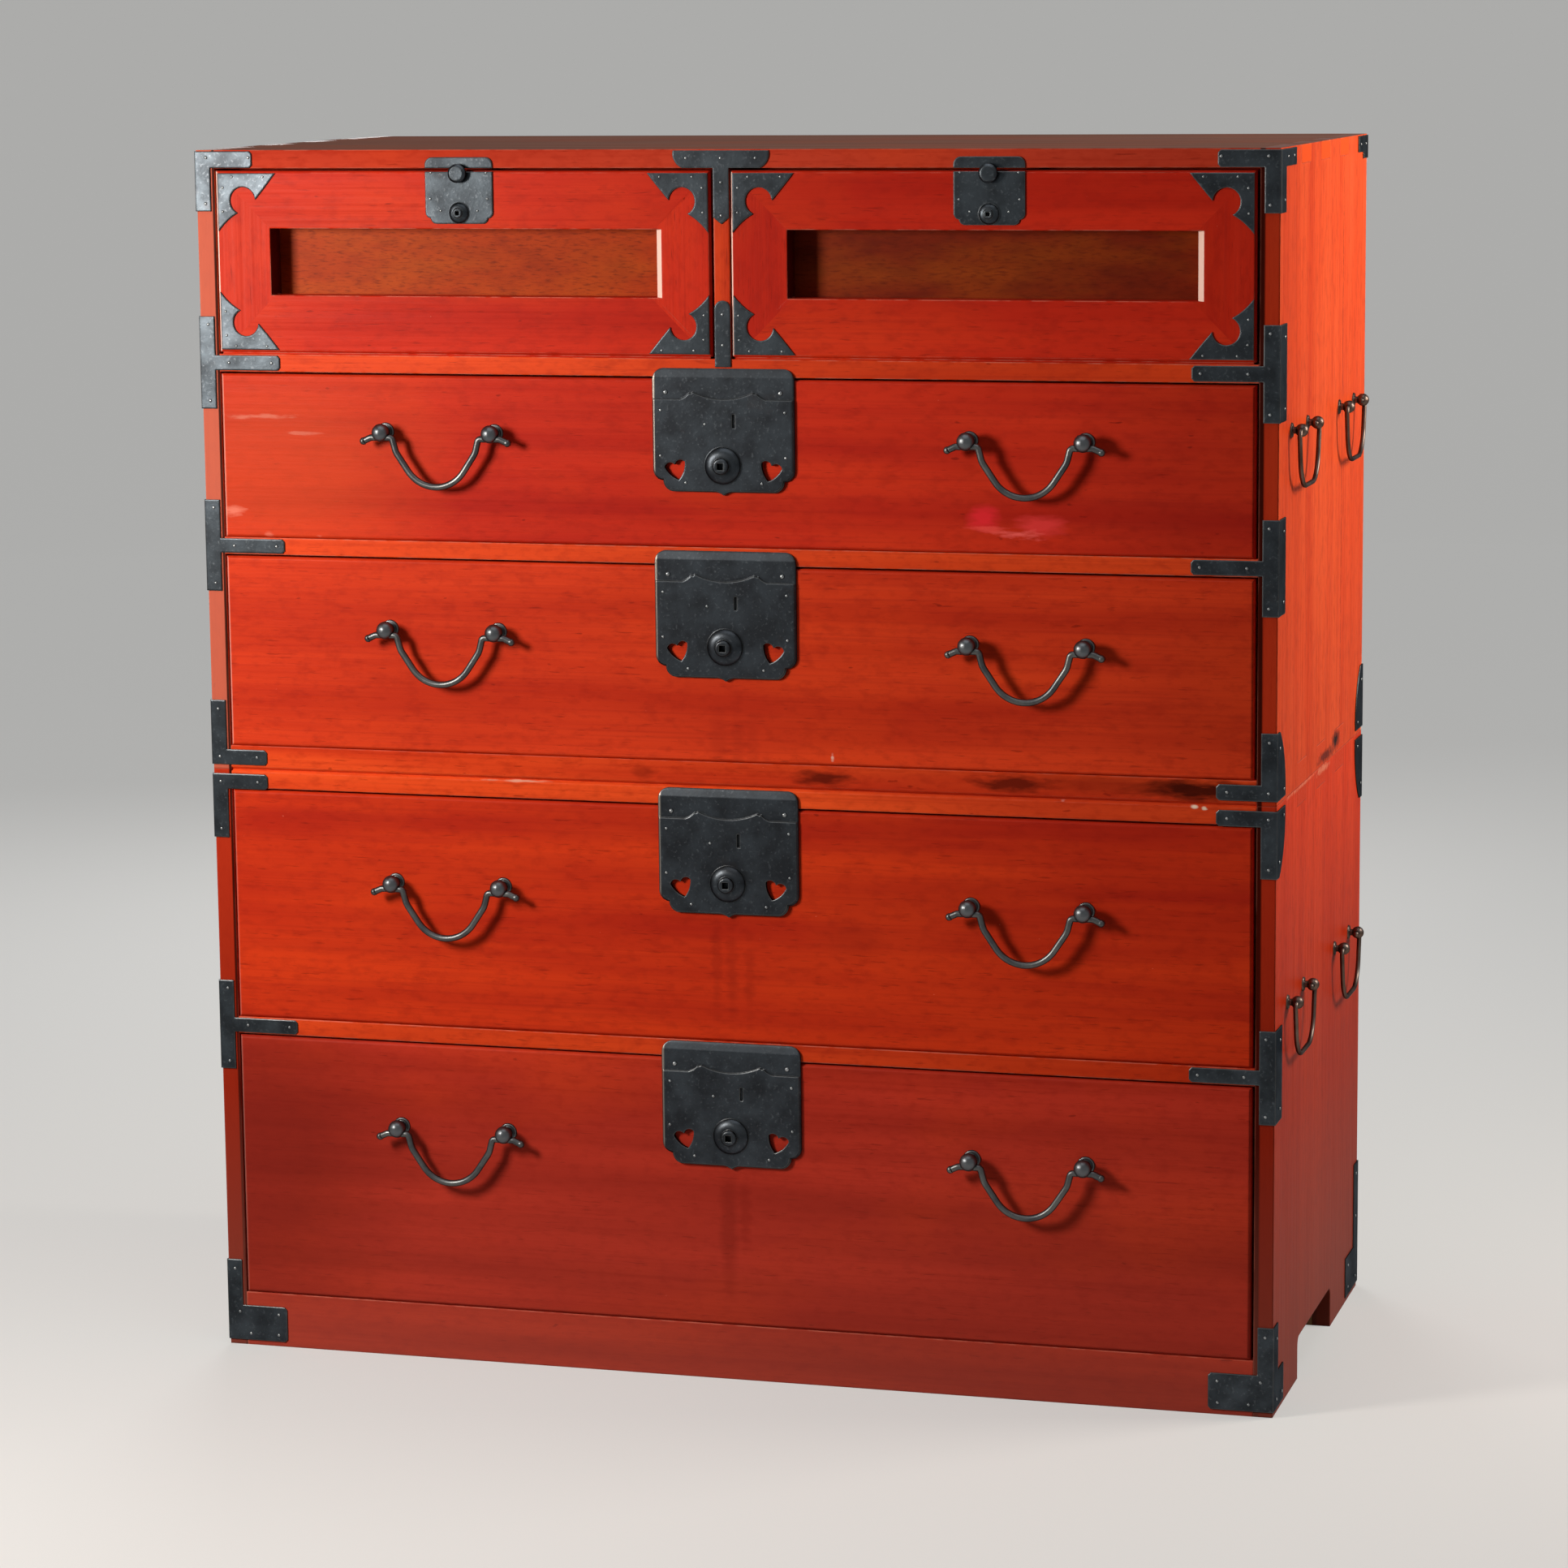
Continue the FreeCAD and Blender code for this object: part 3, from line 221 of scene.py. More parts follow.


# The upper right side is two boards glued edge to edge, and the joint shows as a fine dark line.
# Low on it a knock has left a dark gouge with a long painted shadow trailing from it, and the rear edge
# is rubbed pale.
glue_line = on_right_side(343, 880, (40, 2.0, 420), 0.7, "#8A2414")
knock_and_shadow = (on_right_side(322, 583, (20, 27, 11), 1.0, "#1E0A08"),
           # Painted shadow: the long dark line that trails from the gouge
           on_right_side(268, 576, (20, 64, 7), 0.9, "#5A1A10"),
           on_right_side(474, 600, (12, 7, 46), 0.9, "#E3B49C"))
chafed = (on_right_side(130, 568, (12, 90, 2), 0.35, "#EFA888"),
          on_right_side(250, 566, (12, 40, 4), 0.4, "#EFA888"))
side_marks_and_shadow = {"upper_right_side": (glue_line,) + knock_and_shadow, "lower_right_side": chafed}
# On the lower sides the first level coat is painted shade, darker towards the bottom; the second is dust at the
# foot
side_coats = {"upper": ("#DE5428", "#CC421C", (), "#6E4E44"),
              "lower": ("#DC441F", "#CA3617", ((0.54, 0.28, 0.42, "#5A160E"),
                                               (0.26, 0.0, 0.7, "#84493E")), None)}
lacquer_depth = 0.034
brush_slip = 0.0003
dull = 0.015
for case, seed in (("lower", 2.0), ("upper", 5.0)):
    light_tone, deep_tone, dust_and_shade, end_tone = side_coats[case]
    # The painted shadow along each side's front is wider on the right, where the key lamp throws it
    for hand, gap in (("left", 0.003), ("right", 0.0055)):
        side = case + "_" + hand + "_side"
        dress(side, red_lacquer("iron red lacquer on " + side, 2, light_tone, deep_tone, seed + len(hand),
                                bare=(front_plane + lacquer_depth, inner_half + brush_slip),
                                marks_and_painted_light=side_marks_and_shadow.get(side, ()), dust_and_shade=dust_and_shade, edge=0.3,
                                front_tone="#B4604E" if side == "upper_left_side" else "#A42A16",
                                end_tone=end_tone, gap=gap, gloss=dull))

# The boards that meet at the seam are redder to the right, smoked in places, darkened by a painted shadow
# beside the right iron, and chipped along the edge
reddened = (on_front(330, 575, (280, 20, 60), 0.35, "#A82418"),)
smoke_and_shadow = (on_front(90, 581, (36, 60, 9), 0.8, "#4A120A"), on_front(272, 582, (46, 60, 9), 0.8, "#4A120A"),
         # The darkest of these bands, beside the right iron, is painted shadow
         on_front(380, 584, (150, 60, 12), 0.4, "#6A180C"), on_front(440, 582, (64, 60, 12), 0.9, "#2E0D08"),
         on_front(-82, 582, (14, 60, 7), 0.4, "#6A180C"))
chips = (on_front(440, 567, (3.4, 20, 2.2), 1.0, "#EFD3BE"), on_front(449, 566, (2.6, 20, 1.8), 1.0, "#EBCDB6"),
         on_front(-200, 568, (34, 20, 1.4), 0.8, "#D8A48E"), on_front(318, 568, (4, 20, 1.6), 0.8, "#D89A90"))
for board, seed, marks_and_painted_light, end_tone in (("upper_floor_board", 8.0, reddened + smoke_and_shadow + knock_and_shadow, "#D04620"),
                                     ("lower_top_board", 12.0, reddened + chips + chafed, "#CA3C1C")):
    dress(board, red_lacquer("iron red lacquer on " + board, 0, "#EA5424", "#C6381A", seed, marks_and_painted_light=marks_and_painted_light,
                             edge=0.5, end_tone=end_tone, gloss=dull))
dress("plinth_front", red_lacquer("iron red lacquer on plinth_front", 0, "#C63A20", "#A02814", 15.0,
                                  dust_and_shade=((0.16, 0.0, 0.5, "#A85046"),)))
rail_depth = 0.045
for rail, seed in (("upper_drawer_shelf", 19.0), ("lower_drawer_shelf", 23.0), ("door_sill_shelf", 27.0)):
    dress(rail, red_lacquer("iron red lacquer on " + rail, 0, "#DC481C", "#BC3212", seed,
                            bare=(front_plane + rail_depth, half_width)))
dress("centre_divider", red_lacquer("iron red lacquer on centre post", 2, "#DC481C", "#BC3212", 31.0,
                                    bare=(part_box("left_door_frame")[1].y, half_width)))


# Top board. One plain board, finger-jointed to the sides and worn by the things set down on it.
# The red has gone from its upper face, which is a dull brown-grey, scratched and dry; the front edge
# keeps its colour.
def worn_top(name, seed):
    finish = red_lacquer(name, 0, "#BC402A", "#A83220", seed, edge=0.6, end_tone="#E4562B", gloss=0.0)
    tree = finish.node_tree
    shader = next(n for n in tree.nodes if n.type == "BSDF_PRINCIPLED")
    coords = add(tree, "ShaderNodeTexCoord")
    place = coords.outputs["Object"]
    facing = add(tree, "ShaderNodeSeparateXYZ", {0: coords.outputs["Normal"]}).outputs[2]
    scratches = grain(tree, place, 0, 90, 2.2, seed + 5, 5.0)
    rings = grain(tree, place, 0, 700, 14, seed + 9, 4.0)
    wear = grain(tree, place, 0, 180, 90, seed + 13, 4.0)
    brown = coated(tree, linear("#8A6458"), (
        (rings, 0.36, 0.66, 0.7, "#6A4A40"), (wear, 0.45, 0.7, 0.6, "#905646"),
        (scratches, 0.6, 0.74, 0.6, "#A88674")))
    upper = add(tree, "ShaderNodeMapRange", {0: facing, 1: 0.3, 2: 0.8}).outputs[0]
    kept = shader.inputs["Base Color"].links[0].from_socket
    both = add(tree, "ShaderNodeMix", {0: upper, 6: kept, 7: brown}, data_type="RGBA")
    tree.links.new(both.outputs[2], shader.inputs["Base Color"])
    return finish


dress("upper_top_board", worn_top("worn iron red lacquer on upper_top_board", 3.0))


# Back boards, case floor and bearer. Sawn softwood boards, nailed on and never coated: a dry
# grey-brown with darker late-wood lines and no shine.


# boards gives the lowest level and the width of boards set edge to edge, with dark joints; walls is how
# far out a box's sides begin, whose grain runs back
def bare_softwood(name, along, seed, boards=None, walls=None):
    finish, tree = new_finish(name)
    place = add(tree, "ShaderNodeTexCoord").outputs["Object"]
    axes = add(tree, "ShaderNodeSeparateXYZ", {0: place})
    if boards:
        lowest, width = boards
        count = add(tree, "ShaderNodeMath", {0: axes.outputs[2], 1: 1 / width, 2: -lowest / width},
                    operation="MULTIPLY_ADD").outputs[0]
        board = add(tree, "ShaderNodeMath", {0: count}, operation="FLOOR").outputs[0]
        across = add(tree, "ShaderNodeMath", {0: count}, operation="FRACT").outputs[0]
        middle = add(tree, "ShaderNodeMath", {0: across, 1: 0.5}, operation="SUBTRACT").outputs[0]
        joint = add(tree, "ShaderNodeMath", {0: middle}, operation="ABSOLUTE").outputs[0]
        aside = add(tree, "ShaderNodeCombineXYZ", {0: board, 1: board}).outputs[0]
        place = add(tree, "ShaderNodeVectorMath", {0: place, 1: aside}, operation="ADD").outputs[0]
    if walls:
        outward = add(tree, "ShaderNodeMath", {0: axes.outputs[0]}, operation="ABSOLUTE").outputs[0]
        wall = add(tree, "ShaderNodeMath", {0: outward, 1: walls}, operation="GREATER_THAN").outputs[0]
        turned = add(tree, "ShaderNodeCombineXYZ",
                     {0: axes.outputs[1], 1: axes.outputs[0], 2: axes.outputs[2]}).outputs[0]
        place = add(tree, "ShaderNodeMix", {0: wall, 4: place, 5: turned}, data_type="VECTOR").outputs[1]
    rings = grain(tree, place, along, 520, 8, seed, 4.0)
    broad = grain(tree, place, along, 400, 90, seed + 5)
    knots = grain(tree, place, along, 46, 26, seed + 8, 1.0)
    colour = coated(tree, linear("#A98256"), (
        (rings, 0.36, 0.68, 1.0, "#7B5733"), (broad, 0.4, 0.75, 0.5, "#6E5440"),
        (knots, 0.76, 0.84, 0.7, "#4A2F1C")))
    if boards:
        joint_edge, joint_core = 0.0016 / width, 0.0006 / width
        tint = add(tree, "ShaderNodeTexWhiteNoise", {1: board}, noise_dimensions="1D").outputs[0]
        colour = coated(tree, colour, ((tint, 0.0, 1.0, 0.4, "#6B4C30"),
                                       (joint, 0.5 - joint_edge, 0.5 - joint_core, 0.9, "#1E140C")))
    relief = add(tree, "ShaderNodeBump", {"Height": rings, "Strength": 0.3, "Distance": 0.0005})
    shader = add(tree, "ShaderNodeBsdfPrincipled", {"Base Color": colour, "Roughness": 0.78, "IOR": 1.5,
                                                    "Normal": relief.outputs[0]})
    add(tree, "ShaderNodeOutputMaterial", {"Surface": shader.outputs[0]})
    return finish


back_board_count = 3
for board, seed in (("upper_back_boards", 41.0), ("lower_back_boards", 44.0)):
    low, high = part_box(board)
    width = (high.z - low.z) / back_board_count
    dress(board, bare_softwood("bare softwood of " + board, 0, seed, boards=(low.z, width)))
for board, seed in (("lower_floor_board", 47.0), ("rear_bearer", 50.0)):
    dress(board, bare_softwood("bare softwood of " + board, 0, seed))


# Doors. Four mitred members round a thin recessed board; each member's grain runs its own length,
# so the lacquer turns at the mitres. They lift out, and a tongue along the foot stands in the sill.
# The panel is wiped with brown lacquer over plain sawn softwood: amber, with fine dark lines and blotches.
def brown_lacquer(name, seed, tone, dark_tone):
    finish, tree = new_finish(name)
    place = add(tree, "ShaderNodeTexCoord").outputs["Object"]
    lines = grain(tree, place, 0, 9, 1.8, seed, 5.0)
    blotch = grain(tree, place, 0, 24, 10, seed + 5, 5.0)
    glow = grain(tree, place, 0, 150, 40, seed + 8)
    colour = coated(tree, linear(tone), (
        (blotch, 0.42, 0.66, 0.5, dark_tone), (glow, 0.42, 0.68, 0.4, "#B0540C"),
        (lines, 0.5, 0.7, 0.6, "#5A1804")))
    relief = add(tree, "ShaderNodeBump", {"Height": lines, "Strength": 0.2, "Distance": 0.0003})
    shader = add(tree, "ShaderNodeBsdfPrincipled", {"Base Color": colour, "Roughness": 0.5, "IOR": 1.5,
                                                    "Specular IOR Level": 0.08, "Normal": relief.outputs[0]})
    add(tree, "ShaderNodeOutputMaterial", {"Surface": shader.outputs[0]})
    return finish


uncoated_back = 0.0005
# The right panel's tones are darker than the left's: painted shade, for the recess that hides it from the key
# lamp
for door, seed, tone, dark_tone in (("left_door", 61.0, "#A4380A", "#822608"),
                                    ("right_door", 67.0, "#762208", "#581606")):
    low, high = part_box(door + "_frame")
    dress(door + "_frame", red_lacquer("iron red lacquer on " + door, 0, "#C42B15", "#AC1E0E", seed,
                                       bare=(high.y - uncoated_back, half_width),
                                       mitre=((low + high) / 2, (high - low) / 2)))
    dress(door + "_panel", brown_lacquer("brown lacquer on " + door + " panel", seed + 2, tone, dark_tone))

# Drawers. A thick rebated front over a nailed softwood box; only the front is lacquered.
# Hands have left a crimson smear on the top one and scuffs at its left, lock oil has run down below the
# plates, painted shade darkens the right ends of the top two, away from the key lamp, the left of the top
# one is more orange and the left end of the bottom one is darker.
drawer_names = ("drawer_1", "drawer_2", "drawer_3", "drawer_4")
drawer_tones = {"drawer_1": ("#CC3219", "#AA1F12"), "drawer_2": ("#D63F1B", "#B62C13"),
                "drawer_3": ("#CE3814", "#AC2411"), "drawer_4": ("#BE3422", "#9E2618")}
drawer_marks_and_shade = {
    "drawer_1": (on_front(245, 825, (18, 60, 14), 0.95, "#E22A32"),
                 on_front(299, 820, (27, 60, 12), 0.9, "#E23C3A"),
                 on_front(276, 811, (24, 60, 4.5), 0.9, "#F2625C"),
                 on_front(250, 815, (17, 60, 3.5), 0.7, "#EC5048"),
                 on_front(-485, 818, (13, 60, 6), 0.8, "#E88C7A"),
                 on_front(-452, 796, (5, 60, 3), 0.6, "#E08270"),
                 on_front(-400, 795, (4, 60, 2), 0.6, "#E08270"),
                 # Painted shade: the right end is darkened, away from the key lamp
                 on_front(470, 850, (170, 60, 160), 0.3, "#6E120C"),
                 on_front(-440, 860, (190, 60, 130), 0.45, "#C6481E"),
                 on_front(-455, 908, (38, 60, 2.6), 0.35, "#D8907C"),
                 on_front(-410, 893, (26, 60, 2.2), 0.3, "#D8907C")),
    "drawer_2": (on_front(-8, 612, (12, 60, 44), 0.2, "#7C160D"),
                 on_front(9, 606, (9, 60, 38), 0.2, "#7C160D"),
                 on_front(24, 614, (8, 60, 32), 0.15, "#7C160D"),
                 on_front(101, 601, (2, 60, 4), 0.8, "#E8B8A8"),
                 # Painted shade: the right end is darkened, away from the key lamp
                 on_front(480, 680, (150, 60, 150), 0.22, "#6E120C")),
    "drawer_3": (on_front(-13, 398, (6, 60, 62), 0.25, "#74140C"),
                 on_front(2, 394, (7, 60, 66), 0.25, "#74140C"),
                 on_front(19, 390, (6, 60, 54), 0.2, "#74140C"),
                 on_front(120, 430, (40, 60, 24), 0.2, "#7C160D")),
    "drawer_4": (on_front(-4, 146, (11, 60, 74), 0.3, "#5E120C"),
                 on_front(12, 160, (7, 60, 40), 0.25, "#74140C"),
                 on_front(-490, 190, (190, 60, 220), 0.6, "#6E1A12")),
}
drawer_dust = {"drawer_4": ((0.32, 0.0, 0.3, "#A84A3E"),)}
drawer_edges = {"drawer_1": 0.3, "drawer_2": 0.3, "drawer_3": 0.12, "drawer_4": 0.12}
front_lacquer_depth = 0.0195
drawer_wall = 0.0122
for number, drawer in enumerate(drawer_names):
    light_tone, deep_tone = drawer_tones[drawer]
    dress(drawer + "_front", red_lacquer(
        "iron red lacquer on " + drawer, 0, light_tone, deep_tone, 71.0 + 6 * number,
        bare=(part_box(drawer + "_front")[0].y + front_lacquer_depth, half_width), marks_and_painted_light=drawer_marks_and_shade[drawer],
        dust_and_shade=drawer_dust.get(drawer, ()), edge=drawer_edges[drawer]))
    dress(drawer + "_box", bare_softwood("bare softwood of " + drawer, 0, 101.0 + 3 * number,
                                         walls=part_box(drawer + "_box")[1].x - drawer_wall))


# Iron fittings. Sheet iron cut with a chisel, blackened in the fire with oil and rubbed back to grey on
# the edges; forged bars and turned balls for the handles, browned by rust on the sides.
# The eye sees a blue-grey, mottled dark metal with soft glints, bright rims and a few brown flecks.


# Oil and grime stay in the corners as dark lines, which are painted shade as well. plates says that the node
# holds a lock plate, whose left rim gets a painted highlight where the key lamp catches its edge, and eye
# posts far out from it, rubbed by the bails.
def blackened_iron(name, rub, dark_tone, light_tone, dirt_and_shade=0.0, plates=False):
    finish, tree = new_finish(name)
    place = add(tree, "ShaderNodeTexCoord").outputs["Object"]
    cloud = grain(tree, place, 0, 22, 22, 3.0, 6.0)
    fleck = grain(tree, place, 0, 3, 3, 9.0, 4.0)
    rust = grain(tree, place, 0, 34, 34, 15.0, 6.0)
    colour = coated(tree, linear(dark_tone), (
        (cloud, 0.36, 0.68, 0.8, light_tone), (fleck, 0.58, 0.76, 0.3, "#767C82"),
        (rust, 0.64, 0.8, 0.35, "#3A2B24")))
    if plates:
        outward = add(tree, "ShaderNodeSeparateXYZ", {0: place}).outputs[0]
        posts_near, posts_full = 0.09, 0.1
        away = add(tree, "ShaderNodeMath", {0: outward}, operation="ABSOLUTE").outputs[0]
        colour = coated(tree, colour, ((away, posts_near, posts_full, 0.75, "#6A6D70"),))
    soft, turned = rubbed_edge(tree, rub)
    # Painted reflection: faces that look up get a pale blue-grey, as if the overhead light showed in them
    upward = add(tree, "ShaderNodeSeparateXYZ", {0: soft}).outputs[2]
    colour = coated(tree, colour, ((turned, 0.2, 1.0, 0.25, "#8E8D88"), (upward, 0.08, 0.3, 0.15, "#747B82")))
    if plates:
        # Painted highlight: a pale line along the plate's left rim, where the key lamp catches its edge
        lit_left_rim, rim_edge, rim_core = 0.0672, 0.0024, 0.001
        aside = add(tree, "ShaderNodeMath", {0: outward, 1: lit_left_rim}, operation="ADD").outputs[0]
        from_lit_rim = add(tree, "ShaderNodeMath", {0: aside}, operation="ABSOLUTE").outputs[0]
        colour = coated(tree, colour, ((from_lit_rim, rim_edge, rim_core, 0.75, "#9C958C"),))
    # Grime and painted shade: the corners and creases found by ambient occlusion are darkened
    if dirt_and_shade:
        corner_reach = 0.004
        corner = add(tree, "ShaderNodeAmbientOcclusion", {"Distance": corner_reach}, samples=6).outputs["AO"]
        colour = coated(tree, colour, ((corner, 0.9, 0.5, dirt_and_shade, "#0C0C0D"),))
    rough = add(tree, "ShaderNodeMapRange", {0: cloud, 1: 0.3, 2: 0.72, 3: 0.41, 4: 0.35}).outputs[0]
    relief = add(tree, "ShaderNodeBump", {"Height": fleck, "Strength": 0.25, "Distance": 0.0003,
                                          "Normal": soft})
    shader = add(tree, "ShaderNodeBsdfPrincipled", {"Base Color": colour, "Metallic": 1.0, "Roughness": rough,
                                                    "Specular Tint": linear("#9A9EA2"),
                                                    "Normal": relief.outputs[0]})
    add(tree, "ShaderNodeOutputMaterial", {"Surface": shader.outputs[0]})
    return finish


sheet_iron = blackened_iron("blackened sheet iron", 0.002, "#2B2F33", "#434A50", 0.6)
lock_iron = blackened_iron("blackened sheet iron of locks", 0.002, "#2A2D31", "#40464C", 0.85, True)
forged_iron = blackened_iron("blackened forged iron", 0.0006, "#46484A", "#6C6D6A")
browned_iron = blackened_iron("rust-browned forged iron", 0.0006, "#4C3D35", "#786458")
for node in parts:
    if node.endswith("_ironwork"):
        dress(node, lock_iron)
    elif node.endswith("_irons"):
        dress(node, sheet_iron)
    elif node.endswith("_posts") or node.endswith("_bail") and not node.startswith("drawer"):
        dress(node, browned_iron)
    elif node.endswith("_bail") or node.endswith("_bolt"):
        dress(node, forged_iron)


# Nails. Round-headed iron nails, driven through punched holes in the sheet; their heads are rubbed
# bright. Each spot is a point on the sheet, the way that the head faces and its radius.
def nail_heads(name, body, spots):
    head_sides, head_rings, head_rise = 12, 4, 0.7
    heads = bpy.data.meshes.new(name)
    form = bmesh.new()
    for spot, facing, radius in spots:
        turn = Vector(facing).to_track_quat("Z", "Y").to_matrix().to_4x4()
        rings = []
        for ring in range(head_rings):
            lean = ring * math.pi / (2 * head_rings)
            reach = radius * math.cos(lean)
            rings.append([form.verts.new(Matrix.Translation(spot) @ turn @ Vector(
                (reach * math.cos(a), reach * math.sin(a), head_rise * radius * math.sin(lean))))
                for a in [i * math.pi / (head_sides / 2) for i in range(head_sides)]])
        for lower, upper in zip(rings, rings[1:]):
            for i in range(head_sides):
                onward = (i + 1) % head_sides
                form.faces.new((lower[i], lower[onward], upper[onward], upper[i])).smooth = True
        form.faces.new(rings[-1]).smooth = True
        form.faces.new(rings[0][::-1])
    form.to_mesh(heads)
    form.free()
    piece = bpy.data.objects.new(name, heads)
    bpy.context.scene.collection.objects.link(piece)
    heads.materials.append(rubbed_nail)
    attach(piece, body)


rubbed_nail = blackened_iron("rubbed iron nail heads", 0.0004, "#7A7E80", "#A4A8AA")
case_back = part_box("upper_right_side")[1].y
iron_face = 0.0012
edge_nail = 0.0015
forward = (0, -1, 0)


# Spots on the irons of both case edges, in millimetres inward or back from the edge and up from a level
def at_case_edge(front_spots, side_spots, level, rear_spots=()):
    spots = []
    for hand in (-1, 1):
        outer = hand * (half_width + iron_face)
        sideways = (hand, 0, 0)
        places = [(hand * (half_width - inward / 1000), front_plane - iron_face, rise, forward)
                  for inward, rise in front_spots]
        places += [(outer, front_plane + depth / 1000, rise, sideways) for depth, rise in side_spots]
        places += [(outer, case_back - depth / 1000, rise, sideways) for depth, rise in rear_spots]
        spots += [(Vector((x, y, level + rise / 1000)), facing, edge_nail) for x, y, rise, facing in places]
    return spots


rail_front = ((71, 0), (28, 0), (8, 36), (8, -36))
rail_side = ((20, 32), (20, -32))
top_front = ((10.5, -7), (53, -7), (9, -50))
top_side = ((30, -8), (60, -8), (14, -46))
top_rear = ((14, -9), (42, -9))
seam_front = ((45, 12), (7, 12), (6.5, 58))
seam_side = ((30, 12), (9, 52))
foot_front = ((7, 76), (11, 33), (51.5, 32), (51, 11.5), (22, 11.5))
foot_side = ((14, 14), (42, 14), (14, 72))
foot_rear = ((14, 14), (58, 14), (58, 36), (14, 76), (14, 120))
post_spots = ((-33, 8), (33, 8), (0, 8), (0, 30), (0, 60), (0, 150), (0, 178))
post_nail = 0.0014


def level_of(node):
    low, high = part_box(node)
    return (low.z + high.z) / 2


# The back boards are nailed near both edges, to the sides and to the partition
def along_back(boards):
    back_nail, from_end = 0.0022, 0.012
    low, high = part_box(boards)
    width = (high.z - low.z) / back_board_count
    return [(Vector((x, high.y, low.z + (board + share) * width)), (0, 1, 0), back_nail)
            for board in range(back_board_count) for share in (0.22, 0.78)
            for x in (low.x + from_end, -from_end, high.x - from_end)]


def upside_down(spots):
    return [(across, -rise) for across, rise in spots]


case_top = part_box("upper_top_board")[1].z
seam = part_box("upper_floor_board")[0].z
upper_spots = at_case_edge(top_front, top_side, case_top, top_rear)
upper_spots += at_case_edge(rail_front, rail_side, level_of("door_sill_shelf"))
upper_spots += at_case_edge(rail_front, rail_side, level_of("upper_drawer_shelf"))
upper_spots += at_case_edge(seam_front, seam_side, seam, seam_side)
upper_spots += [(Vector((across / 1000, front_plane - iron_face, case_top - drop / 1000)), forward, post_nail)
                for across, drop in post_spots]
upper_spots += along_back("upper_back_boards")
nail_heads("upper_case_nails", "upper_case", upper_spots)
lower_spots = at_case_edge(rail_front, rail_side, level_of("lower_drawer_shelf"))
lower_spots += at_case_edge(upside_down(seam_front), upside_down(seam_side), seam, upside_down(seam_side))
lower_spots += at_case_edge(foot_front, foot_side, 0.0, foot_rear)
lower_spots += along_back("lower_back_boards")
nail_heads("lower_case_nails", "lower_case", lower_spots)

# Spots on the lock plates, in millimetres across and down from the upper edge; the foot's are up from below
plate_strip = ((-55, 22), (55, 22))
plate_field = ((-59.5, 38.5), (59.5, 39.5), (-60, 80.5), (60, 81), (-17, 51))
plate_foot = ((-36, 8.5), (37, 8.5))
plate_laps = {"drawer_1": 10, "drawer_2": 15, "drawer_3": 18, "drawer_4": 17}
plate_heights = {"drawer_1": 113.5, "drawer_2": 118, "drawer_3": 118, "drawer_4": 118}
plate_face, cover_face = 0.0026, 0.0042
strip_nail, cover_nail = 0.0022, 0.0014
for drawer in drawer_names:
    low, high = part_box(drawer + "_front")
    top = high.z + plate_laps[drawer] / 1000
    foot = tuple((x, plate_heights[drawer] - rise) for x, rise in plate_foot)
    spots = [(Vector((x / 1000, low.y - plate_face, top - drop / 1000)), forward, strip_nail)
             for x, drop in plate_strip]
    spots += [(Vector((x / 1000, low.y - cover_face, top - drop / 1000)), forward, cover_nail)
              for x, drop in plate_field + foot]
    nail_heads(drawer + "_nails", drawer, spots)

# Spots on the doors' leaf irons, inward and up or down from each corner, and on their lock plates
leaf_spots = ((17, 5.6), (48, 5.6), (7.5, 15.6), (7, 38))
door_plate_spots = ((-27, 8), (27, 8), (-28, 32), (28, 32), (-18, 43), (18, 43))
door_foot = 0.004
door_nail = 0.0012
for door in ("left_door", "right_door"):
    low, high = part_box(door + "_frame")
    plate_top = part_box(door + "_irons")[1].z
    middle = (low.x + high.x) / 2
    places = [(x, z) for inward, rise in leaf_spots
              for x in (low.x + inward / 1000, high.x - inward / 1000)
              for z in (high.z - rise / 1000, low.z + door_foot + rise / 1000)]
    places += [(middle + across / 1000, plate_top - drop / 1000) for across, drop in door_plate_spots]
    nail_heads(door + "_nails", door, [(Vector((x, front_plane - iron_face, z)), forward, door_nail)
                                       for x, z in places])

# Studio. A plain pale floor that rises all round, a soft lamp near the front left as in a small studio,
# another at the right that warms the side, one behind for the back, and a wide weak one overhead.
# The paper is lifted towards white for the eye and in the iron, and keeps the chest's shadow.
flat_reach, curve, wall_height = 7.0, 2.0, 9.0
floor_sides, curve_steps = 96, 12
floor_mesh = bpy.data.meshes.new("studio_floor")
form = bmesh.new()
turns = [i * math.pi / (floor_sides / 2) for i in range(floor_sides)]
bends = [i * math.pi / (2 * curve_steps) for i in range(curve_steps + 1)]
sweep = [(flat_reach + curve * math.sin(a), curve - curve * math.cos(a)) for a in bends]
sweep.append((flat_reach + curve, wall_height))
rows = [[form.verts.new((reach * math.cos(t), reach * math.sin(t), z)) for t in turns] for reach, z in sweep]
form.faces.new(rows[0])
for inner, outer in zip(rows, rows[1:]):
    for i in range(floor_sides):
        onward = (i + 1) % floor_sides
        form.faces.new((inner[i], outer[i], outer[onward], inner[onward])).smooth = True
form.to_mesh(floor_mesh)
form.free()
floor = bpy.data.objects.new("studio_floor", floor_mesh)
bpy.context.scene.collection.objects.link(floor)
paper, tree = new_finish("pale studio paper")
rays = add(tree, "ShaderNodeLightPath").outputs
shiny = add(tree, "ShaderNodeMath", {0: rays["Is Glossy Ray"], 1: rays["Is Transmission Ray"]},
            operation="MAXIMUM").outputs[0]
seen = add(tree, "ShaderNodeMath", {0: rays["Is Camera Ray"], 1: shiny}, operation="MAXIMUM").outputs[0]
lift = add(tree, "ShaderNodeMath", {0: seen, 1: 0.5}, operation="MULTIPLY").outputs[0]
shader = add(tree, "ShaderNodeBsdfPrincipled", {"Base Color": linear("#9C9B99"), "Roughness": 0.9,
                                                "Emission Color": linear("#E4E4E2"), "Emission Strength": lift})
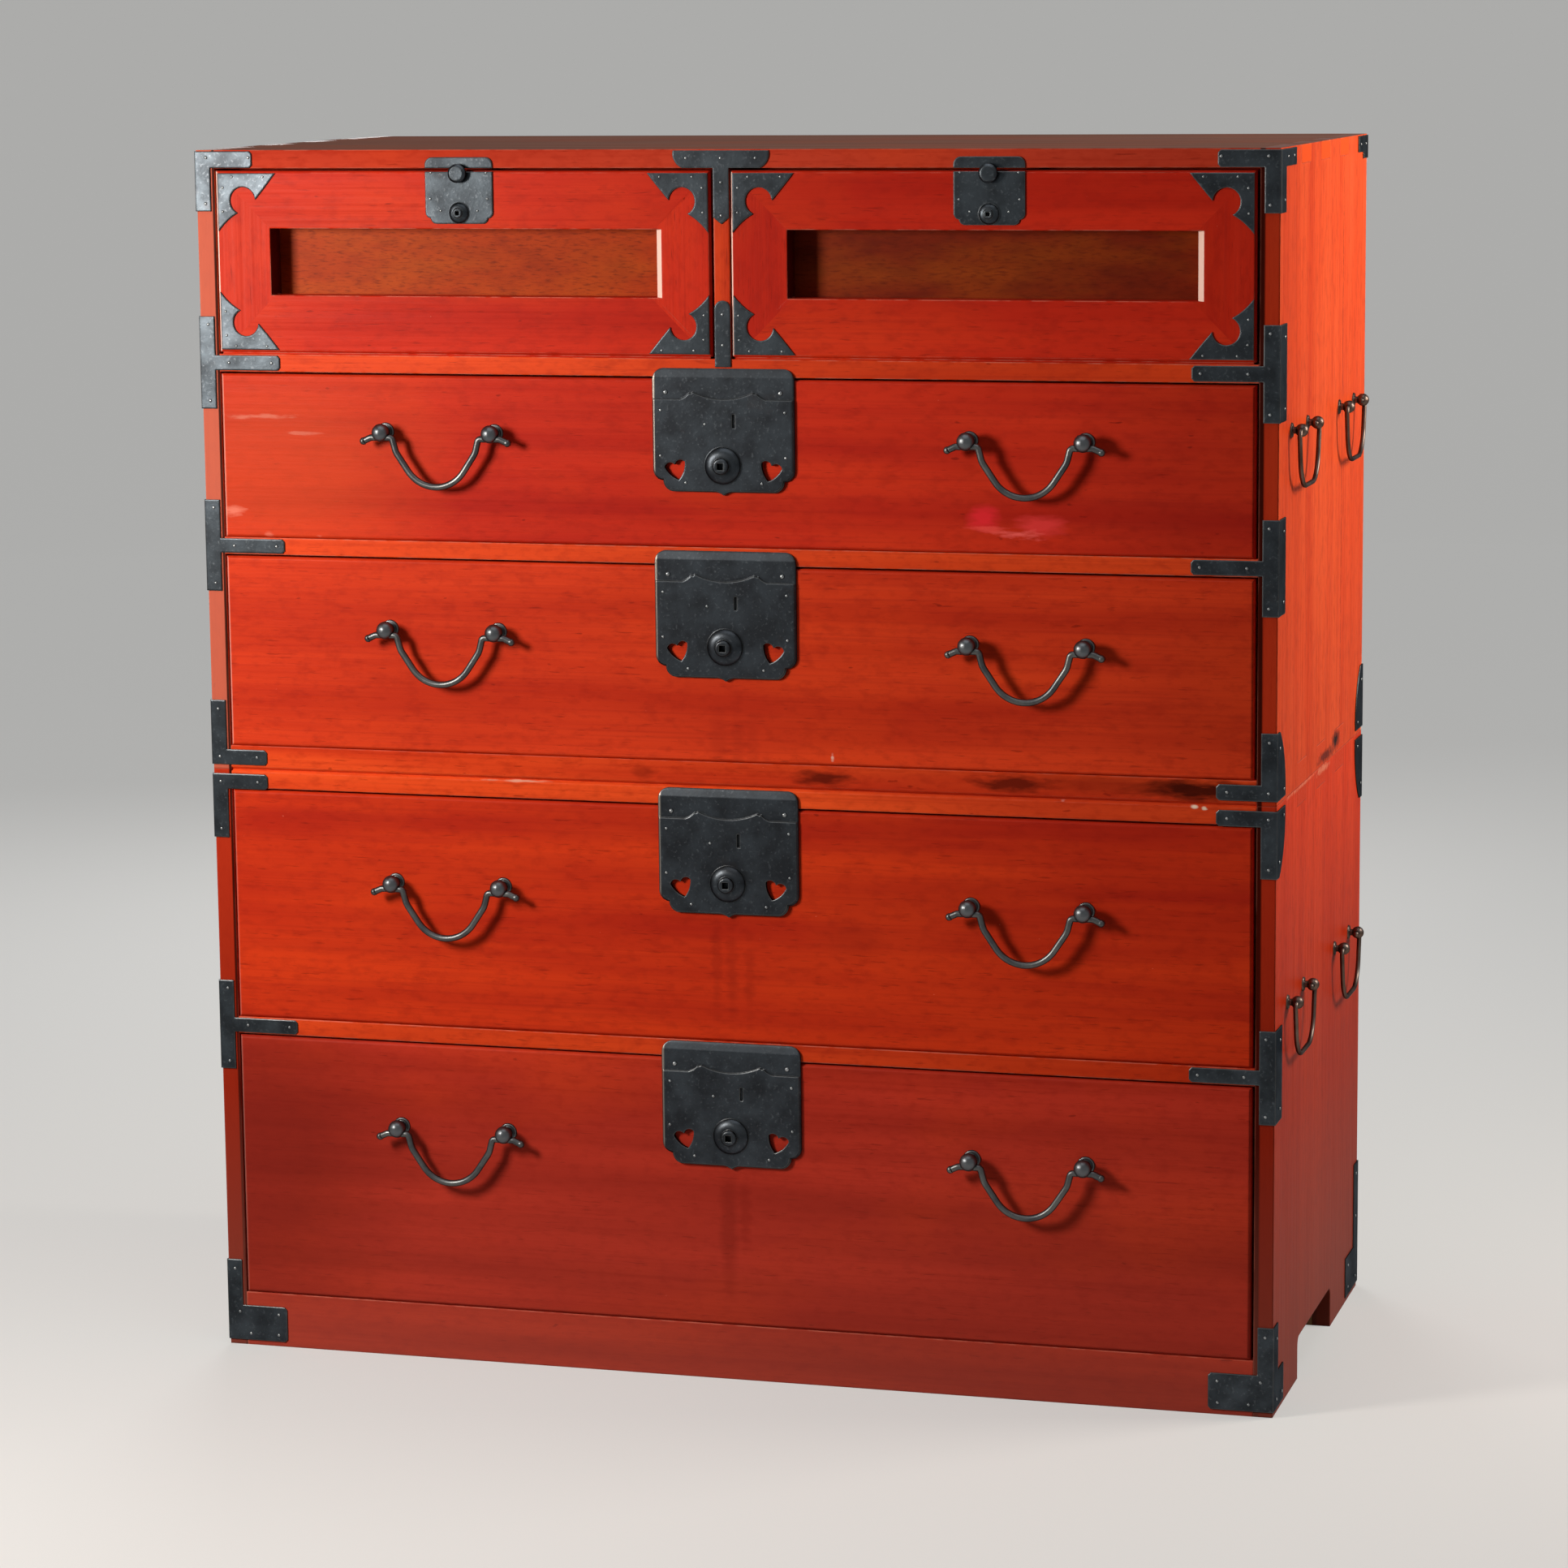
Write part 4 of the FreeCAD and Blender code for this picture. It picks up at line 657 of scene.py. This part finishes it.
add(tree, "ShaderNodeOutputMaterial", {"Surface": shader.outputs[0]})
floor_mesh.materials.append(paper)


def soft_lamp(name, place, target, width, height, power, tint):
    lamp = bpy.data.lights.new(name, "AREA")
    lamp.shape = "RECTANGLE"
    lamp.size = width
    lamp.size_y = height
    lamp.energy = power
    lamp.color = linear(tint)[:3]
    holder = bpy.data.objects.new(name, lamp)
    holder.location = place
    holder.rotation_euler = (Vector(target) - Vector(place)).to_track_quat("-Z", "Y").to_euler()
    holder.visible_camera = False
    bpy.context.scene.collection.objects.link(holder)


soft_lamp("key_lamp", (-1.07, -1.33, 1.16), (0.2, -0.2, 0.66), 0.36, 0.46, 27, "#FFF6EC")
soft_lamp("side_lamp", (1.5, 0.3, 1.28), (0.5, 0.16, 0.85), 0.6, 0.6, 17.5, "#FFF3E6")
soft_lamp("rear_lamp", (-1.0, 2.5, 1.7), (0.0, 0.2, 0.5), 1.2, 1.0, 26, "#FFFFFF")
soft_lamp("overhead_lamp", (0.2, -0.5, 3.0), (0.2, -0.3, 0.0), 2.4, 2.4, 24, "#FFFFFF")

world = bpy.data.worlds.new("studio_air")
bpy.context.scene.world = world
world.use_nodes = True
air = world.node_tree.nodes["Background"].inputs
air["Color"].default_value = linear("#E8E8E8")
air["Strength"].default_value = 0.08

# Camera. It stands at the photograph's place, fitted to the edges of the cases: a long lens about four
# metres in front, a little above the top and to the right.
lens = bpy.data.cameras.new("viewpoint")
lens.lens = 108.49
lens.sensor_width = 36.0
lens.clip_end = 60.0
viewpoint = bpy.data.objects.new("viewpoint", lens)
eye = Vector((1.25356, front_plane - 4.15064, 1.27772))
right = Vector((0.96109, 0.27607, -0.00999))
up = Vector((-0.03489, 0.15718, 0.98695))
back = Vector((0.27404, -0.94820, 0.16070))
viewpoint.matrix_world = Matrix.Translation(eye) @ Matrix((right, up, back)).transposed().to_4x4()
bpy.context.scene.collection.objects.link(viewpoint)
bpy.context.scene.camera = viewpoint
bpy.context.scene.view_settings.view_transform = "Standard"
